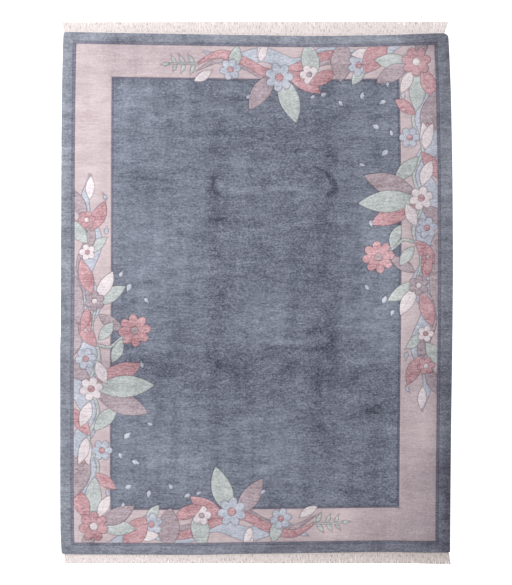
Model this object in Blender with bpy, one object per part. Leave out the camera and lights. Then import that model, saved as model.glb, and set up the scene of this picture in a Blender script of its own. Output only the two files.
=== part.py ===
"""Hand-knotted wool rug with carved frame lines and a cotton fringe at each end, lying flat.

X runs across the rug, Y along it and Z up, in metres. The underside is at Z = 0, and the middle of the
whole rug, fringes included, is at the origin. The rug is drawn as a straight rectangle, the nominal rug,
and then warped a little, as a real weave is drawn out of true.
"""

import math
from collections import namedtuple

import bpy
import numpy as np
from mathutils import Vector
from mathutils.geometry import delaunay_2d_cdt

# Nominal rug, without its fringes
HALF_WIDTH = 1.2565
HALF_LENGTH = 1.6707

# Heights above the floor
PILE_TOP = 0.013
WALL_TOP = 0.0085
LINE_FLOOR = 0.0094

# How far each side of the real rug lies inside the nominal rectangle, along that side
EdgeRow = namedtuple("EdgeRow", "along inset")
LEFT_EDGE = (
    EdgeRow(-1.667, 0.0096), EdgeRow(-1.513, 0.0020), EdgeRow(-1.130, 0.0), EdgeRow(-0.363, 0.0),
    EdgeRow(-0.235, 0.0030), EdgeRow(0.595, 0.0064), EdgeRow(0.947, 0.0077), EdgeRow(1.234, 0.0105),
    EdgeRow(1.490, 0.0150), EdgeRow(1.669, 0.0210),
)
RIGHT_EDGE = (
    EdgeRow(-1.609, 0.0179), EdgeRow(-1.194, 0.0147), EdgeRow(-0.811, 0.0109), EdgeRow(-0.363, 0.0045),
    EdgeRow(0.180, 0.0), EdgeRow(0.691, 0.0026), EdgeRow(1.234, 0.0120), EdgeRow(1.490, 0.0210),
    EdgeRow(1.650, 0.0290),
)
TOP_EDGE = (
    EdgeRow(-1.231, 0.0), EdgeRow(-0.809, 0.0077), EdgeRow(-0.490, 0.0130), EdgeRow(-0.042, 0.0205),
    EdgeRow(0.405, 0.0250), EdgeRow(0.852, 0.0195), EdgeRow(1.172, 0.0090), EdgeRow(1.250, 0.0080),
)
BOTTOM_EDGE = (
    EdgeRow(-1.244, 0.0030), EdgeRow(-0.809, 0.0010), EdgeRow(-0.362, 0.0), EdgeRow(-0.106, 0.0055),
    EdgeRow(0.085, 0.0075), EdgeRow(0.405, 0.0120), EdgeRow(0.852, 0.0180), EdgeRow(1.044, 0.0140),
    EdgeRow(1.229, 0.0135),
)

# Corner radii of the outline, in the order top right, top left, bottom left, bottom right
OUTLINE_RADII = (0.032, 0.014, 0.014, 0.009)
LEAST_RADIUS = 0.002
CORNER_POINTS = 5

# Steps of the pile's rounded edge: how far in, and how high
ShoulderRow = namedtuple("ShoulderRow", "inset height")
SHOULDER = (ShoulderRow(0.0016, 0.0114), ShoulderRow(0.0050, PILE_TOP))

# The two dark frame lines: distances in from the nominal sides to their outer edge, and their width
FrameLine = namedtuple("FrameLine", "left right top bottom width")
OUTER_LINE = FrameLine(0.070, 0.0755, 0.055, 0.055, 0.018)
INNER_LINE = FrameLine(0.324, 0.331, 0.282, 0.287, 0.011)
LINE_WALL = 0.0032
LINE_RADIUS = 0.004

# Point spacings along the rings
END_STEP = 0.050
SIDE_STEP = 0.100
LINE_STEP = 0.140

# Flat centre of the underside
UNDERSIDE_CENTRE = (0.80, 1.10)

# Fringes
PIECE_GAP = 0.0003
STRANDS_PER_END = 148
STRIP_WIDTH = 0.0085
STRIP_HEIGHT = 0.0046
STRAND_LEAN = 0.0034
LEAN_SCATTER = 0.0012
LENGTH_SCATTER = 0.0030
EndRow = namedtuple("EndRow", "x y")
FringeEnd = namedtuple("FringeEnd", "name seed side root_left root_right tip_left tip_right end_line")
StrandRow = namedtuple("StrandRow", "along width height crown")
STRAND = (
    StrandRow(0.0, 0.0082, STRIP_HEIGHT, 1.0),
    StrandRow(0.50, 0.0080, 0.0052, 0.62),
    StrandRow(1.0, 0.0052, 0.0030, 0.60),
)
TOP_FRINGE = FringeEnd(
    "fringe_top", 11, 1, -1.2275, 1.1985, -0.0055, 0.0265,
    (EndRow(-1.234, 1.7260), EndRow(-0.360, 1.7280), EndRow(0.400, 1.7285), EndRow(1.226, 1.7297)),
)
BOTTOM_FRINGE = FringeEnd(
    "fringe_bottom", 23, -1, -1.2320, 1.2330, 0.0055, 0.0120,
    (EndRow(-1.228, -1.7227), EndRow(-0.360, -1.7240), EndRow(0.085, -1.7260), EndRow(0.850, -1.7240),
     EndRow(1.250, -1.7297)),
)
FLARE_REACH = 0.20
EARLY_LEAN = 0.6

# Surfaces: linear colour, roughness
Finish = namedtuple("Finish", "name colour roughness")
WOOL_PILE = Finish("wool_pile", (0.185, 0.205, 0.255), 0.95)
COTTON = Finish("cotton_fringe", (0.83, 0.76, 0.71), 0.90)


def smooth_row_value(rows, at):
    """Curve through a table's two columns that never overshoots between two rows (monotone cubic)."""
    x = np.array([row[0] for row in rows])
    y = np.array([row[1] for row in rows])
    step = np.diff(x)
    slope = np.diff(y) / step
    same = slope[:-1] * slope[1:] > 0
    weight = np.where(same, slope[:-1] * slope[1:], 0.0)
    inner = 2.0 * weight / np.where(same, slope[:-1] + slope[1:], 1.0)
    tangent = np.concatenate([[slope[0]], inner, [slope[-1]]])
    at = np.clip(at, x[0], x[-1])
    cell = np.clip(np.searchsorted(x, at) - 1, 0, len(step) - 1)
    t = (at - x[cell]) / step[cell]
    start = y[cell] * (1 + 2 * t) * (1 - t) ** 2 + tangent[cell] * step[cell] * t * (1 - t) ** 2
    end = y[cell + 1] * t * t * (3 - 2 * t) - tangent[cell + 1] * step[cell] * t * t * (1 - t)
    return start + end


def warp(points):
    """Carries points of the nominal rectangle to the real rug: each side's inset fades across the rug."""
    x, y = points[:, 0], points[:, 1]
    to_right = (HALF_WIDTH + x) / (2 * HALF_WIDTH)
    to_top = (HALF_LENGTH + y) / (2 * HALF_LENGTH)
    real_x = x + smooth_row_value(LEFT_EDGE, y) * (1 - to_right) - smooth_row_value(RIGHT_EDGE, y) * to_right
    real_y = y + smooth_row_value(BOTTOM_EDGE, x) * (1 - to_top) - smooth_row_value(TOP_EDGE, x) * to_top
    return np.column_stack([real_x, real_y])


def run(start, end, step):
    """Points from start up to, but not including, end, evenly spaced at about step."""
    count = max(1, round(math.dist(start, end) / step))
    t = np.arange(count)[:, None] / count
    return np.array(start) + t * (np.array(end) - np.array(start))


def rounded_rectangle(left, right, bottom, top, radii, steps):
    """Anticlockwise loop of a rectangle with round corners; steps are the spacings along X and Y."""
    corners = (
        (right, top, -1, -1, 0.0), (left, top, 1, -1, 0.5),
        (left, bottom, 1, 1, 1.0), (right, bottom, -1, 1, 1.5),
    )
    arcs = []
    for (x, y, in_x, in_y, turn), radius in zip(corners, radii):
        angle = math.pi * (turn + 0.5 * np.linspace(0, 1, CORNER_POINTS))
        centre = np.array([x + in_x * radius, y + in_y * radius])
        arcs.append(centre + radius * np.column_stack([np.cos(angle), np.sin(angle)]))
    loop = []
    for index, arc in enumerate(arcs):
        following = arcs[(index + 1) % len(arcs)]
        loop.append(arc[:-1])
        loop.append(run(arc[-1], following[0], steps[index % 2]))
    return np.vstack(loop)


def outline_loop(inset):
    """The rug's own edge, moved in by inset."""
    radii = [max(radius - inset, LEAST_RADIUS) for radius in OUTLINE_RADII]
    loop = rounded_rectangle(
        -HALF_WIDTH + inset, HALF_WIDTH - inset, -HALF_LENGTH + inset, HALF_LENGTH - inset,
        radii, (END_STEP, SIDE_STEP),
    )
    return warp(loop)


def line_loop(line, inset):
    """One edge of a frame line, inset further in than the line's outer edge."""
    loop = rounded_rectangle(
        -HALF_WIDTH + line.left + inset, HALF_WIDTH - line.right - inset,
        -HALF_LENGTH + line.bottom + inset, HALF_LENGTH - line.top - inset,
        (LINE_RADIUS,) * 4, (LINE_STEP, LINE_STEP),
    )
    return warp(loop)


def line_rings(line):
    """Rings of one carved line, as loop and height: lip, foot, foot, lip."""
    return [
        (line_loop(line, 0.0), PILE_TOP),
        (line_loop(line, LINE_WALL), LINE_FLOOR),
        (line_loop(line, line.width - LINE_WALL), LINE_FLOOR),
        (line_loop(line, line.width), PILE_TOP),
    ]


def triangulate(rings):
    """Fills the first ring, keeping every ring as an edge; gives points, heights and triangles.

    The triangles are a constrained Delaunay fill, facing up, of rings that don't cross.
    """
    points = np.vstack([loop for loop, _ in rings])
    heights = np.concatenate([np.full(len(loop), height) for loop, height in rings])
    edges = []
    first = 0
    for loop, _ in rings:
        count = len(loop)
        edges += [(first + i, first + (i + 1) % count) for i in range(count)]
        first += count
    vectors = [Vector(point) for point in points.tolist()]
    _, _, faces, origin, _, _ = delaunay_2d_cdt(vectors, edges, [], 1, 1e-7)
    back = [sources[0] for sources in origin]
    triangles = []
    for face in faces:
        a, b, c = (back[i] for i in face)
        side = np.cross(points[b] - points[a], points[c] - points[a])
        triangles.append((a, b, c) if side > 0 else (a, c, b))
    return points, heights, triangles


def clear_scene():
    """Empties the file of what a new scene brings."""
    for old in list(bpy.data.objects):
        bpy.data.objects.remove(old, do_unlink=True)


def make_material(finish):
    """Principled material of one finish."""
    material = bpy.data.materials.new(finish.name)
    material.use_nodes = True
    shader = material.node_tree.nodes["Principled BSDF"]
    shader.inputs["Base Color"].default_value = (*finish.colour, 1.0)
    shader.inputs["Roughness"].default_value = finish.roughness
    shader.inputs["Metallic"].default_value = 0.0
    return material


def make_object(name, vertices, faces, material):
    """One named piece from its points and faces."""
    mesh = bpy.data.meshes.new(name)
    mesh.from_pydata([tuple(map(float, vertex)) for vertex in vertices], [], faces)
    mesh.materials.append(material)
    mesh.validate()
    mesh.update()
    piece = bpy.data.objects.new(name, mesh)
    bpy.context.collection.objects.link(piece)
    return piece


def ring_points(loop, height):
    """A loop's points in space."""
    return np.column_stack([loop, np.full(len(loop), height)])


def band(first, second, count):
    """Quads between two rings of count points, the second ring higher or further in."""
    return [(first + i, first + (i + 1) % count, second + (i + 1) % count, second + i) for i in range(count)]


def build_rug_body(material):
    """Flat rug: underside, upright edge, rounded pile edge, and a top with the carved frame lines."""
    edge = outline_loop(0.0)
    count = len(edge)
    walls = [ring_points(edge, 0.0), ring_points(edge, WALL_TOP)]
    walls += [ring_points(outline_loop(row.inset), row.height) for row in SHOULDER]
    faces = []
    for level in range(len(walls) - 1):
        faces += band(level * count, (level + 1) * count, count)

    top_ring = len(walls) - 1
    rings = [(walls[top_ring][:, :2], PILE_TOP)] + line_rings(OUTER_LINE) + line_rings(INNER_LINE)
    points, heights, triangles = triangulate(rings)
    shift = top_ring * count
    faces += [tuple(shift + i for i in triangle) for triangle in triangles]
    top_points = np.column_stack([points, heights])[count:]
    vertices = np.vstack(walls + [top_points])

    centre = rounded_rectangle(
        -UNDERSIDE_CENTRE[0], UNDERSIDE_CENTRE[0], -UNDERSIDE_CENTRE[1], UNDERSIDE_CENTRE[1],
        (0.0,) * 4, (2 * UNDERSIDE_CENTRE[0], 2 * UNDERSIDE_CENTRE[1]),
    )
    corners = centre[np.arange(4) * CORNER_POINTS]
    points, _, triangles = triangulate([(edge, 0.0), (corners, 0.0)])
    added = len(vertices)
    place = [i if i < count else added + i - count for i in range(len(points))]
    faces += [(place[a], place[c], place[b]) for a, b, c in triangles]
    vertices = np.vstack([vertices, ring_points(corners, 0.0)])
    return make_object("rug_body", vertices, faces, material)


def body_end(side):
    """The real rug's straight end edge at the top (side 1) or bottom (side -1), from left to right."""
    top_right, top_left, bottom_left, bottom_right = OUTLINE_RADII
    left, right = (top_left, top_right) if side > 0 else (bottom_left, bottom_right)
    start = (-HALF_WIDTH + left, side * HALF_LENGTH)
    end = (HALF_WIDTH - right, side * HALF_LENGTH)
    return warp(np.vstack([run(start, end, END_STEP), end]))


def fringe_roots(fringe):
    """Middle of each strand's root along X, evenly spaced."""
    half_pitch = 0.5 * (fringe.root_right - fringe.root_left) / STRANDS_PER_END
    return np.linspace(fringe.root_left + half_pitch, fringe.root_right - half_pitch, STRANDS_PER_END)


def build_fringe(fringe, material):
    """A narrow woven strip and its flat locks, which lean together in pairs and end about evenly.

    A lock grows out of the strip's outer face, whose whole height its root takes. It has a flat bottom
    on the floor, four sides and a row of STRAND for each of its sections. It leans by EARLY_LEAN of its
    slope at the root and by more further out.
    """
    random = np.random.default_rng(fringe.seed)
    root = fringe_roots(fringe)
    end = body_end(fringe.side)
    half_root = 0.5 * STRAND[0].width
    inner_x = np.concatenate([[root[0] - half_root], root[1:-1:2], [root[-1] + half_root]])
    edge_y = np.interp(inner_x, end[:, 0], end[:, 1]) + fringe.side * PIECE_GAP
    outer_x = np.column_stack([root - half_root, root + half_root]).ravel()
    outer_y = np.interp(outer_x, end[:, 0], end[:, 1]) + fringe.side * (PIECE_GAP + STRIP_WIDTH)

    pair_lean = np.where(np.arange(STRANDS_PER_END) % 2 == 0, 1.0, -1.0) * STRAND_LEAN
    lean = pair_lean + random.uniform(-LEAN_SCATTER, LEAN_SCATTER, STRANDS_PER_END)
    from_left = np.clip(1 - (root - fringe.root_left) / FLARE_REACH, 0, 1) ** 2
    from_right = np.clip(1 - (fringe.root_right - root) / FLARE_REACH, 0, 1) ** 2
    tip_x = root + lean + fringe.tip_left * from_left + fringe.tip_right * from_right
    tip_y = smooth_row_value(fringe.end_line, tip_x)
    tip_y = tip_y - fringe.side * random.uniform(0, LENGTH_SCATTER, STRANDS_PER_END)
    tip_y[-1] = fringe.end_line[-1].y

    vertices = []
    for x, y in zip(inner_x, edge_y):
        vertices += [(x, y, 0.0), (x, y, STRIP_HEIGHT)]
    outer_first = len(vertices)
    for x, y in zip(outer_x, outer_y):
        vertices += [(x, y, 0.0), (x, y, STRIP_HEIGHT)]
    faces = strip_faces(inner_x, outer_x, outer_first)

    for index in range(STRANDS_PER_END):
        low_left = outer_first + 4 * index
        ring = [low_left, low_left + 2, low_left + 3, low_left + 1]
        root_y = 0.5 * (outer_y[2 * index] + outer_y[2 * index + 1])
        for row in STRAND[1:]:
            t = row.along
            bow = t * (EARLY_LEAN + (1 - EARLY_LEAN) * t)
            middle_x = root[index] + (tip_x[index] - root[index]) * bow
            middle_y = root_y + (tip_y[index] - root_y) * t
            half = 0.5 * row.width
            first = len(vertices)
            vertices += [
                (middle_x - half, middle_y, 0.0), (middle_x + half, middle_y, 0.0),
                (middle_x + half * row.crown, middle_y, row.height),
                (middle_x - half * row.crown, middle_y, row.height),
            ]
            following = [first, first + 1, first + 2, first + 3]
            faces += [
                (ring[i], ring[(i + 1) % 4], following[(i + 1) % 4], following[i]) for i in range(4)
            ]
            ring = following
        faces.append(tuple(ring))
    if fringe.side > 0:
        faces = [tuple(reversed(face)) for face in faces]
    return make_object(fringe.name, vertices, faces, material)


def strip_faces(inner_x, outer_x, outer_first):
    """The strip's faces without the roots' openings, in the turn that suits a fringe at the bottom.

    Top and bottom are a band of triangles between the inner and the outer points, each joined to the
    nearer next point, and the outer wall stands only between two roots.
    """
    faces = []
    i, j = 0, 0
    while i < len(inner_x) - 1 or j < len(outer_x) - 1:
        inner_next = inner_x[i + 1] if i < len(inner_x) - 1 else math.inf
        outer_next = outer_x[j + 1] if j < len(outer_x) - 1 else math.inf
        low_i, low_j = 2 * i, outer_first + 2 * j
        if outer_next <= inner_next:
            faces.append((low_i, low_j + 2, low_j))
            faces.append((low_i + 1, low_j + 1, low_j + 3))
            j += 1
        else:
            faces.append((low_i, low_i + 2, low_j))
            faces.append((low_i + 1, low_j + 1, low_i + 3))
            i += 1
    for i in range(len(inner_x) - 1):
        faces.append((2 * i, 2 * i + 1, 2 * i + 3, 2 * i + 2))
    for j in range(1, len(outer_x) - 1, 2):
        low = outer_first + 2 * j
        faces.append((low, low + 2, low + 3, low + 1))
    last_inner, last_outer = 2 * (len(inner_x) - 1), outer_first + 2 * (len(outer_x) - 1)
    faces.append((0, outer_first, outer_first + 1, 1))
    faces.append((last_inner, last_inner + 1, last_outer + 1, last_outer))
    return faces


def centre_on_origin(pieces):
    """Moves all points so that the rug's box is centred on the origin, seen from above."""
    corners = np.array([vertex.co for piece in pieces for vertex in piece.data.vertices])
    middle = 0.5 * (corners.min(axis=0) + corners.max(axis=0))
    for piece in pieces:
        for vertex in piece.data.vertices:
            vertex.co -= Vector((middle[0], middle[1], 0.0))


def main():
    """Builds the rug's three pieces."""
    clear_scene()
    wool = make_material(WOOL_PILE)
    cotton = make_material(COTTON)
    body = build_rug_body(wool)
    fringes = [build_fringe(fringe, cotton) for fringe in (TOP_FRINGE, BOTTOM_FRINGE)]
    centre_on_origin([body, *fringes])


main()
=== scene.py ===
"""Wool rug with a carved pile and a cotton fringe at each end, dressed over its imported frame.

X runs across the rug, Y along it and Z up, in metres. Everything is drawn on the nominal rug, a straight
rectangle, and the last step of each mesh carries it to the real one, whose sides are slightly out of true.
"""
from __future__ import annotations

import logging
import math
from dataclasses import dataclass
from enum import Enum
from typing import NamedTuple, Protocol, Sequence, TypeVar

import bpy
import numpy as np
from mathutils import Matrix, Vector
from mathutils.geometry import delaunay_2d_cdt


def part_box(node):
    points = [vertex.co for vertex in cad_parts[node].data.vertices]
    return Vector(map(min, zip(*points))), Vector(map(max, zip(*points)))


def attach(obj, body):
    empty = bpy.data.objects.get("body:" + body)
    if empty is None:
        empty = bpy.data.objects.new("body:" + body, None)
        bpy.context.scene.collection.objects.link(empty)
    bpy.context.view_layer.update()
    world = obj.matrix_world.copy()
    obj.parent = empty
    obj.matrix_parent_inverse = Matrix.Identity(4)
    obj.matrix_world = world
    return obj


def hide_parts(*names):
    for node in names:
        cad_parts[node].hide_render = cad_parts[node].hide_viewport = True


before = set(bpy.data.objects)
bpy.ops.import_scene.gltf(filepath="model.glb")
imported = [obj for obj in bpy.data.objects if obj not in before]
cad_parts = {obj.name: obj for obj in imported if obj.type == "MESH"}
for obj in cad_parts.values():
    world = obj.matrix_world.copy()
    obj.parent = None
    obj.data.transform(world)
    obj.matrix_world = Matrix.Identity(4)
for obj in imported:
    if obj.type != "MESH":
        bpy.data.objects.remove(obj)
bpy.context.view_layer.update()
LOG = logging.getLogger("rug")

Array = np.ndarray
Colour = tuple[float, float, float, float]
Socket = bpy.types.NodeSocket
Row = TypeVar("Row")


class Wool(Enum):
    """The dyed wools of the pile; the value names the piece knotted in that wool."""

    FIELD = "pile_field"
    BAND = "pile_outer_band"
    BORDER = "pile_border"
    EDGE = "pile_outer_line"
    LINE = "pile_inner_line"
    ROSE = "pile_rose"
    MAUVE = "pile_mauve"
    SAGE = "pile_sage"
    IVORY = "pile_ivory"
    SKY = "pile_sky"


WOOLS = tuple(Wool)
FIELD, BAND, BORDER, EDGE, LINE, ROSE, MAUVE, SAGE, IVORY, SKY = WOOLS
GROUND_WOOLS = (FIELD, BAND, BORDER, EDGE, LINE)
SHARP_ANGLE = math.radians(50)


class EdgeRow(NamedTuple):
    """How far a side of the cloth lies inside the nominal rectangle at one place along it."""

    along: float
    inset: float


class PlaceRow(NamedTuple):
    """One point of a smooth line."""

    x: float
    y: float


class FrameLine(NamedTuple):
    """A dark line all round: its distances in from the nominal sides, and its width."""

    left: float
    right: float
    top: float
    bottom: float
    width: float


def rows_of(kind: type[Row], *rows: Sequence) -> tuple[Row, ...]:
    """The rows of a table, each made one of a kind."""
    return tuple(kind(*row) for row in rows)


def smooth_row_value(rows: Sequence[tuple[float, float]], at: Array) -> Array:
    """Curve through a table's two columns that never overshoots between two rows.

    Monotone cubic: the tangent at a row is the harmonic mean of the slopes on its two sides, or nought
    where they differ in sign.

    Args:
        rows: pairs of place and value, in rising order of place.
        at: places to read.

    Returns:
        The value at each place.
    """
    x, y = np.array(rows, dtype=float).T
    step = np.diff(x)
    slope = np.diff(y) / step
    same = slope[:-1] * slope[1:] > 0
    inner = 2.0 * np.where(same, slope[:-1] * slope[1:], 0.0) / np.where(same, slope[:-1] + slope[1:], 1.0)
    tangent = np.concatenate([[slope[0]], inner, [slope[-1]]])
    at = np.clip(at, x[0], x[-1])
    cell = np.clip(np.searchsorted(x, at) - 1, 0, len(step) - 1)
    t = (at - x[cell]) / step[cell]
    start = y[cell] * (1 + 2 * t) * (1 - t) ** 2 + tangent[cell] * step[cell] * t * (1 - t) ** 2
    end = y[cell + 1] * t * t * (3 - 2 * t) - tangent[cell + 1] * step[cell] * t * t * (1 - t)
    return start + end


def curve_through(points: Sequence[tuple[float, float]], samples: int) -> Array:
    """Catmull-Rom curve through a short list of points.

    Args:
        points: the places that the curve passes through.
        samples: how many points to give back.

    Returns:
        Points along the curve, even in its parameter.
    """
    p = np.asarray(points, dtype=float)
    p = np.vstack([2 * p[0] - p[1], p, 2 * p[-1] - p[-2]])
    t = np.linspace(0, len(p) - 3, samples)
    cell = np.clip(t.astype(int), 0, len(p) - 4)
    u = (t - cell)[:, None]
    a, b, c, d = p[cell], p[cell + 1], p[cell + 2], p[cell + 3]
    return 0.5 * (2 * b + (c - a) * u + (2 * a - 5 * b + 4 * c - d) * u**2 + (3 * b - a - 3 * c + d) * u**3)


def left_normals(path: Array) -> Array:
    """Unit normals on the left of an open path.

    Args:
        path: its points, in order.

    Returns:
        A normal for each point.
    """
    along = np.gradient(path, axis=0)
    along /= np.linalg.norm(along, axis=1)[:, None]
    return np.column_stack([-along[:, 1], along[:, 0]])


def path_length(path: Array) -> float:
    """Length of a path's straight pieces together."""
    return float(np.linalg.norm(np.diff(path, axis=0), axis=1).sum())


def looped(path: Array) -> Array:
    """A ring of points with its first one again at its end."""
    return np.vstack([path, path[:1]])


def round_places(angle: Array) -> Array:
    """Places on a circle of radius 1, by their angles."""
    return np.column_stack([np.cos(angle), np.sin(angle)])


def random_relief(points: Array, cell: Sequence[float], seed: int) -> Array:
    """Smooth unevenness: a seeded random lattice, blended between its corners by cubic steps.

    Args:
        points: places on the plane.
        cell: the lattice's spacing along X and along Y.
        seed: picks the lattice.

    Returns:
        A value from -1 to 1 for each place.
    """
    count = 256
    table = np.random.default_rng(seed).uniform(-1.0, 1.0, (count, count))
    place = points / np.asarray(cell)
    base = np.floor(place).astype(int)
    t = place - base
    t = t * t * (3 - 2 * t)
    i, j = base[:, 0] % count, base[:, 1] % count
    low = table[i, j] * (1 - t[:, 0]) + table[(i + 1) % count, j] * t[:, 0]
    high = table[i, (j + 1) % count] * (1 - t[:, 0]) + table[(i + 1) % count, (j + 1) % count] * t[:, 0]
    return low * (1 - t[:, 1]) + high * t[:, 1]


class Relief(NamedTuple):
    """A random relief with its height, its lattice's spacing along X and Y, and its seed."""

    size: float
    cell: tuple[float, float]
    seed: int

    def at(self, points: Array) -> Array:
        """Its height at places."""
        return self.size * random_relief(points, self.cell, self.seed)

    def moved(self, points: Array, by: Array) -> Array:
        """Moves points aside, along Y by a second lattice.

        Args:
            points: places to move.
            by: the places where the two reliefs are read.

        Returns:
            The moved places.
        """
        return points + np.column_stack([self.at(by), self._replace(seed=self.seed + 1).at(by)])


@dataclass(frozen=True)
class Cloth:
    """The rug's ground plan, in the sizes of its solid.

    The nominal rug is a rectangle with round corners. Each side's inset from it fades across the rug.
    """

    half_width: float = 1.2565
    half_length: float = 1.6707
    radii: tuple[float, float, float, float] = (0.032, 0.014, 0.014, 0.009)
    left: tuple[EdgeRow, ...] = rows_of(
        EdgeRow,
        (-1.667, 0.0096), (-1.513, 0.002), (-1.13, 0.0), (-0.363, 0.0), (-0.235, 0.003), (0.595, 0.0064),
        (0.947, 0.0077), (1.234, 0.0105), (1.49, 0.015), (1.669, 0.021),
    )
    right: tuple[EdgeRow, ...] = rows_of(
        EdgeRow,
        (-1.609, 0.0179), (-1.194, 0.0147), (-0.811, 0.0109), (-0.363, 0.0045), (0.18, 0.0),
        (0.691, 0.0026), (1.234, 0.012), (1.49, 0.021), (1.65, 0.029),
    )
    top: tuple[EdgeRow, ...] = rows_of(
        EdgeRow,
        (-1.231, 0.0), (-0.809, 0.0077), (-0.49, 0.013), (-0.042, 0.0205), (0.405, 0.025),
        (0.852, 0.0195), (1.172, 0.009), (1.25, 0.008),
    )
    bottom: tuple[EdgeRow, ...] = rows_of(
        EdgeRow,
        (-1.244, 0.003), (-0.809, 0.001), (-0.362, 0.0), (-0.106, 0.0055), (0.085, 0.0075),
        (0.405, 0.012), (0.852, 0.018), (1.044, 0.014), (1.229, 0.0135),
    )
    corner_points: int = 7
    least_radius: float = 0.0005
    coarse_step: float = 0.05

    def warped(self, points: Array) -> Array:
        """Carries points of the nominal rug to the drawn-out one, before it is centred.

        Args:
            points: places on the nominal rug.

        Returns:
            Their places on the drawn-out rug.
        """
        x, y = points[:, 0], points[:, 1]
        to_right = (self.half_width + x) / (2 * self.half_width)
        to_top = (self.half_length + y) / (2 * self.half_length)
        left, right = smooth_row_value(self.left, y), smooth_row_value(self.right, y)
        bottom, top = smooth_row_value(self.bottom, x), smooth_row_value(self.top, x)
        return np.column_stack([
            x + left * (1 - to_right) - right * to_right, y + bottom * (1 - to_top) - top * to_top
        ])

    def shift(self) -> Array:
        """The move that puts the warped outline on the frame's own solid.

        Returns:
            The move along X and Y.
        """
        outline = self.warped(self.loop(0.0, self.coarse_step))
        low, high = (np.array(corner[:2]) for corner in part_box("rug_body"))
        return 0.5 * (low + high) - 0.5 * (outline.min(axis=0) + outline.max(axis=0))

    def real(self, points: Array) -> Array:
        """Carries points of the nominal rug to their places in the frame."""
        return self.warped(points) + self.shift()

    def inset(self, points: Array) -> Array:
        """How far points lie inside the nominal outline, below nought outside it.

        The distance to a rectangle with its own radius at each corner.

        Args:
            points: places on the nominal rug.

        Returns:
            The distance in from the outline for each place.
        """
        x, y = points[:, 0], points[:, 1]
        top_right, top_left, bottom_left, bottom_right = self.radii
        top, bottom = np.where(x > 0, top_right, top_left), np.where(x > 0, bottom_right, bottom_left)
        radius = np.where(y > 0, top, bottom)
        over = np.abs(points) - np.array([self.half_width, self.half_length]) + radius[:, None]
        outside = np.linalg.norm(np.maximum(over, 0.0), axis=1)
        return radius - outside - np.minimum(over.max(axis=1), 0.0)

    def loop(self, inset: float, step: float) -> Array:
        """The nominal outline moved in by inset.

        Args:
            inset: distance in from the outline.
            step: spacing along the straight sides.

        Returns:
            Points, anticlockwise from the right end of the top right corner.
        """
        arcs = []
        corners = ((1, 1), (-1, 1), (-1, -1), (1, -1))
        for quarter, ((right, up), radius) in enumerate(zip(corners, self.radii)):
            angle = math.pi * (0.5 * quarter + 0.5 * np.linspace(0, 1, self.corner_points))
            centre = np.array([right * self.half_width - right * radius, up * self.half_length - up * radius])
            arcs.append(centre + max(radius - inset, self.least_radius) * round_places(angle))
        parts = []
        for index, arc in enumerate(arcs):
            parts += [arc, straight(arc[-1], arcs[(index + 1) % 4][0], step)[1:]]
        return np.vstack(parts)

    def end_edge(self, side: int, x: Array) -> Array:
        """Y of the real rug's end edge, top (side 1) or bottom (side -1), at places across it.

        Args:
            side: 1 for the top end, -1 for the bottom end.
            x: places across the real rug.

        Returns:
            Y of the edge at each place.
        """
        across = np.linspace(-self.half_width + self.radii[1], self.half_width - self.radii[0], 200)
        edge = self.real(np.column_stack([across, np.full(len(across), side * self.half_length)]))
        return np.interp(x, edge[:, 0], edge[:, 1])


def straight(start: Array, end: Array, step: float) -> Array:
    """Points from start up to, but not including, end, evenly spaced at about step."""
    count = max(1, round(math.dist(start, end) / step))
    return np.asarray(start) + np.arange(count)[:, None] / count * (np.asarray(end) - np.asarray(start))


@dataclass(frozen=True)
class Patch:
    """An area of one wool: its outline, and the lines carved inside it."""

    wool: Wool
    outline: Array
    ribs: tuple[Array, ...] = ()

    def turned(self) -> Patch:
        """The same patch turned half round about the rug's middle."""
        return Patch(self.wool, -self.outline, tuple(-rib for rib in self.ribs))


class Motif(Protocol):
    """Anything of the garland that can draw itself as patches, the lowest first."""

    def patches(self) -> list[Patch]:
        """The motif's patches."""


OUTLINE_STEP = 0.009


def steps_over(length: float, least: int = 5) -> int:
    """How many outline steps a length takes."""
    return max(least, round(length / OUTLINE_STEP))


@dataclass(frozen=True)
class Leaf:
    """Pointed leaf. Its axis is an arc, bent to the left by bend times its length, and its half width is a
    sine of the way along, fullest before the middle when fullness is under 1."""

    wool: Wool
    x: float
    y: float
    length: float
    width: float
    heading: float
    bend: float = 0.0
    fullness: float = 1.0
    veined: bool = True
    plumpness: float = 0.85

    def axis(self, samples: int) -> Array:
        """Points from the base to the tip.

        Args:
            samples: how many points to give back.

        Returns:
            The points.
        """
        u = np.linspace(0, 1, samples)[:, None]
        turn = math.radians(self.heading)
        ahead = np.array([math.cos(turn), math.sin(turn)])
        aside = np.array([-ahead[1], ahead[0]])
        sideways = self.bend * (2 * u * (1 - u) + u**2)
        return np.array([self.x, self.y]) + self.length * (u * ahead + sideways * aside)

    def patches(self) -> list[Patch]:
        """The leaf, with its midrib.

        Returns:
            One patch.
        """
        samples = steps_over(self.length) + 1
        path = self.axis(samples)
        along = np.linspace(0, 1, samples)
        half = 0.5 * self.width * np.sin(math.pi * along**self.fullness) ** self.plumpness
        side = left_normals(path) * half[:, None]
        outline = np.vstack([path + side, (path - side)[-2:0:-1]])
        return [Patch(self.wool, outline, (path[1:-2],) if self.veined else ())]


@dataclass(frozen=True)
class Petal:
    """Loose petal: a small, round-tipped leaf without a rib."""

    wool: Wool
    x: float
    y: float
    length: float
    heading: float
    slimness: float = 0.58
    bend: float = 0.12
    fullness: float = 1.35

    def patches(self) -> list[Patch]:
        """The petal."""
        width = self.slimness * self.length
        place = (self.x, self.y, self.length, width, self.heading)
        return Leaf(self.wool, *place, self.bend, self.fullness, veined=False).patches()


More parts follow.
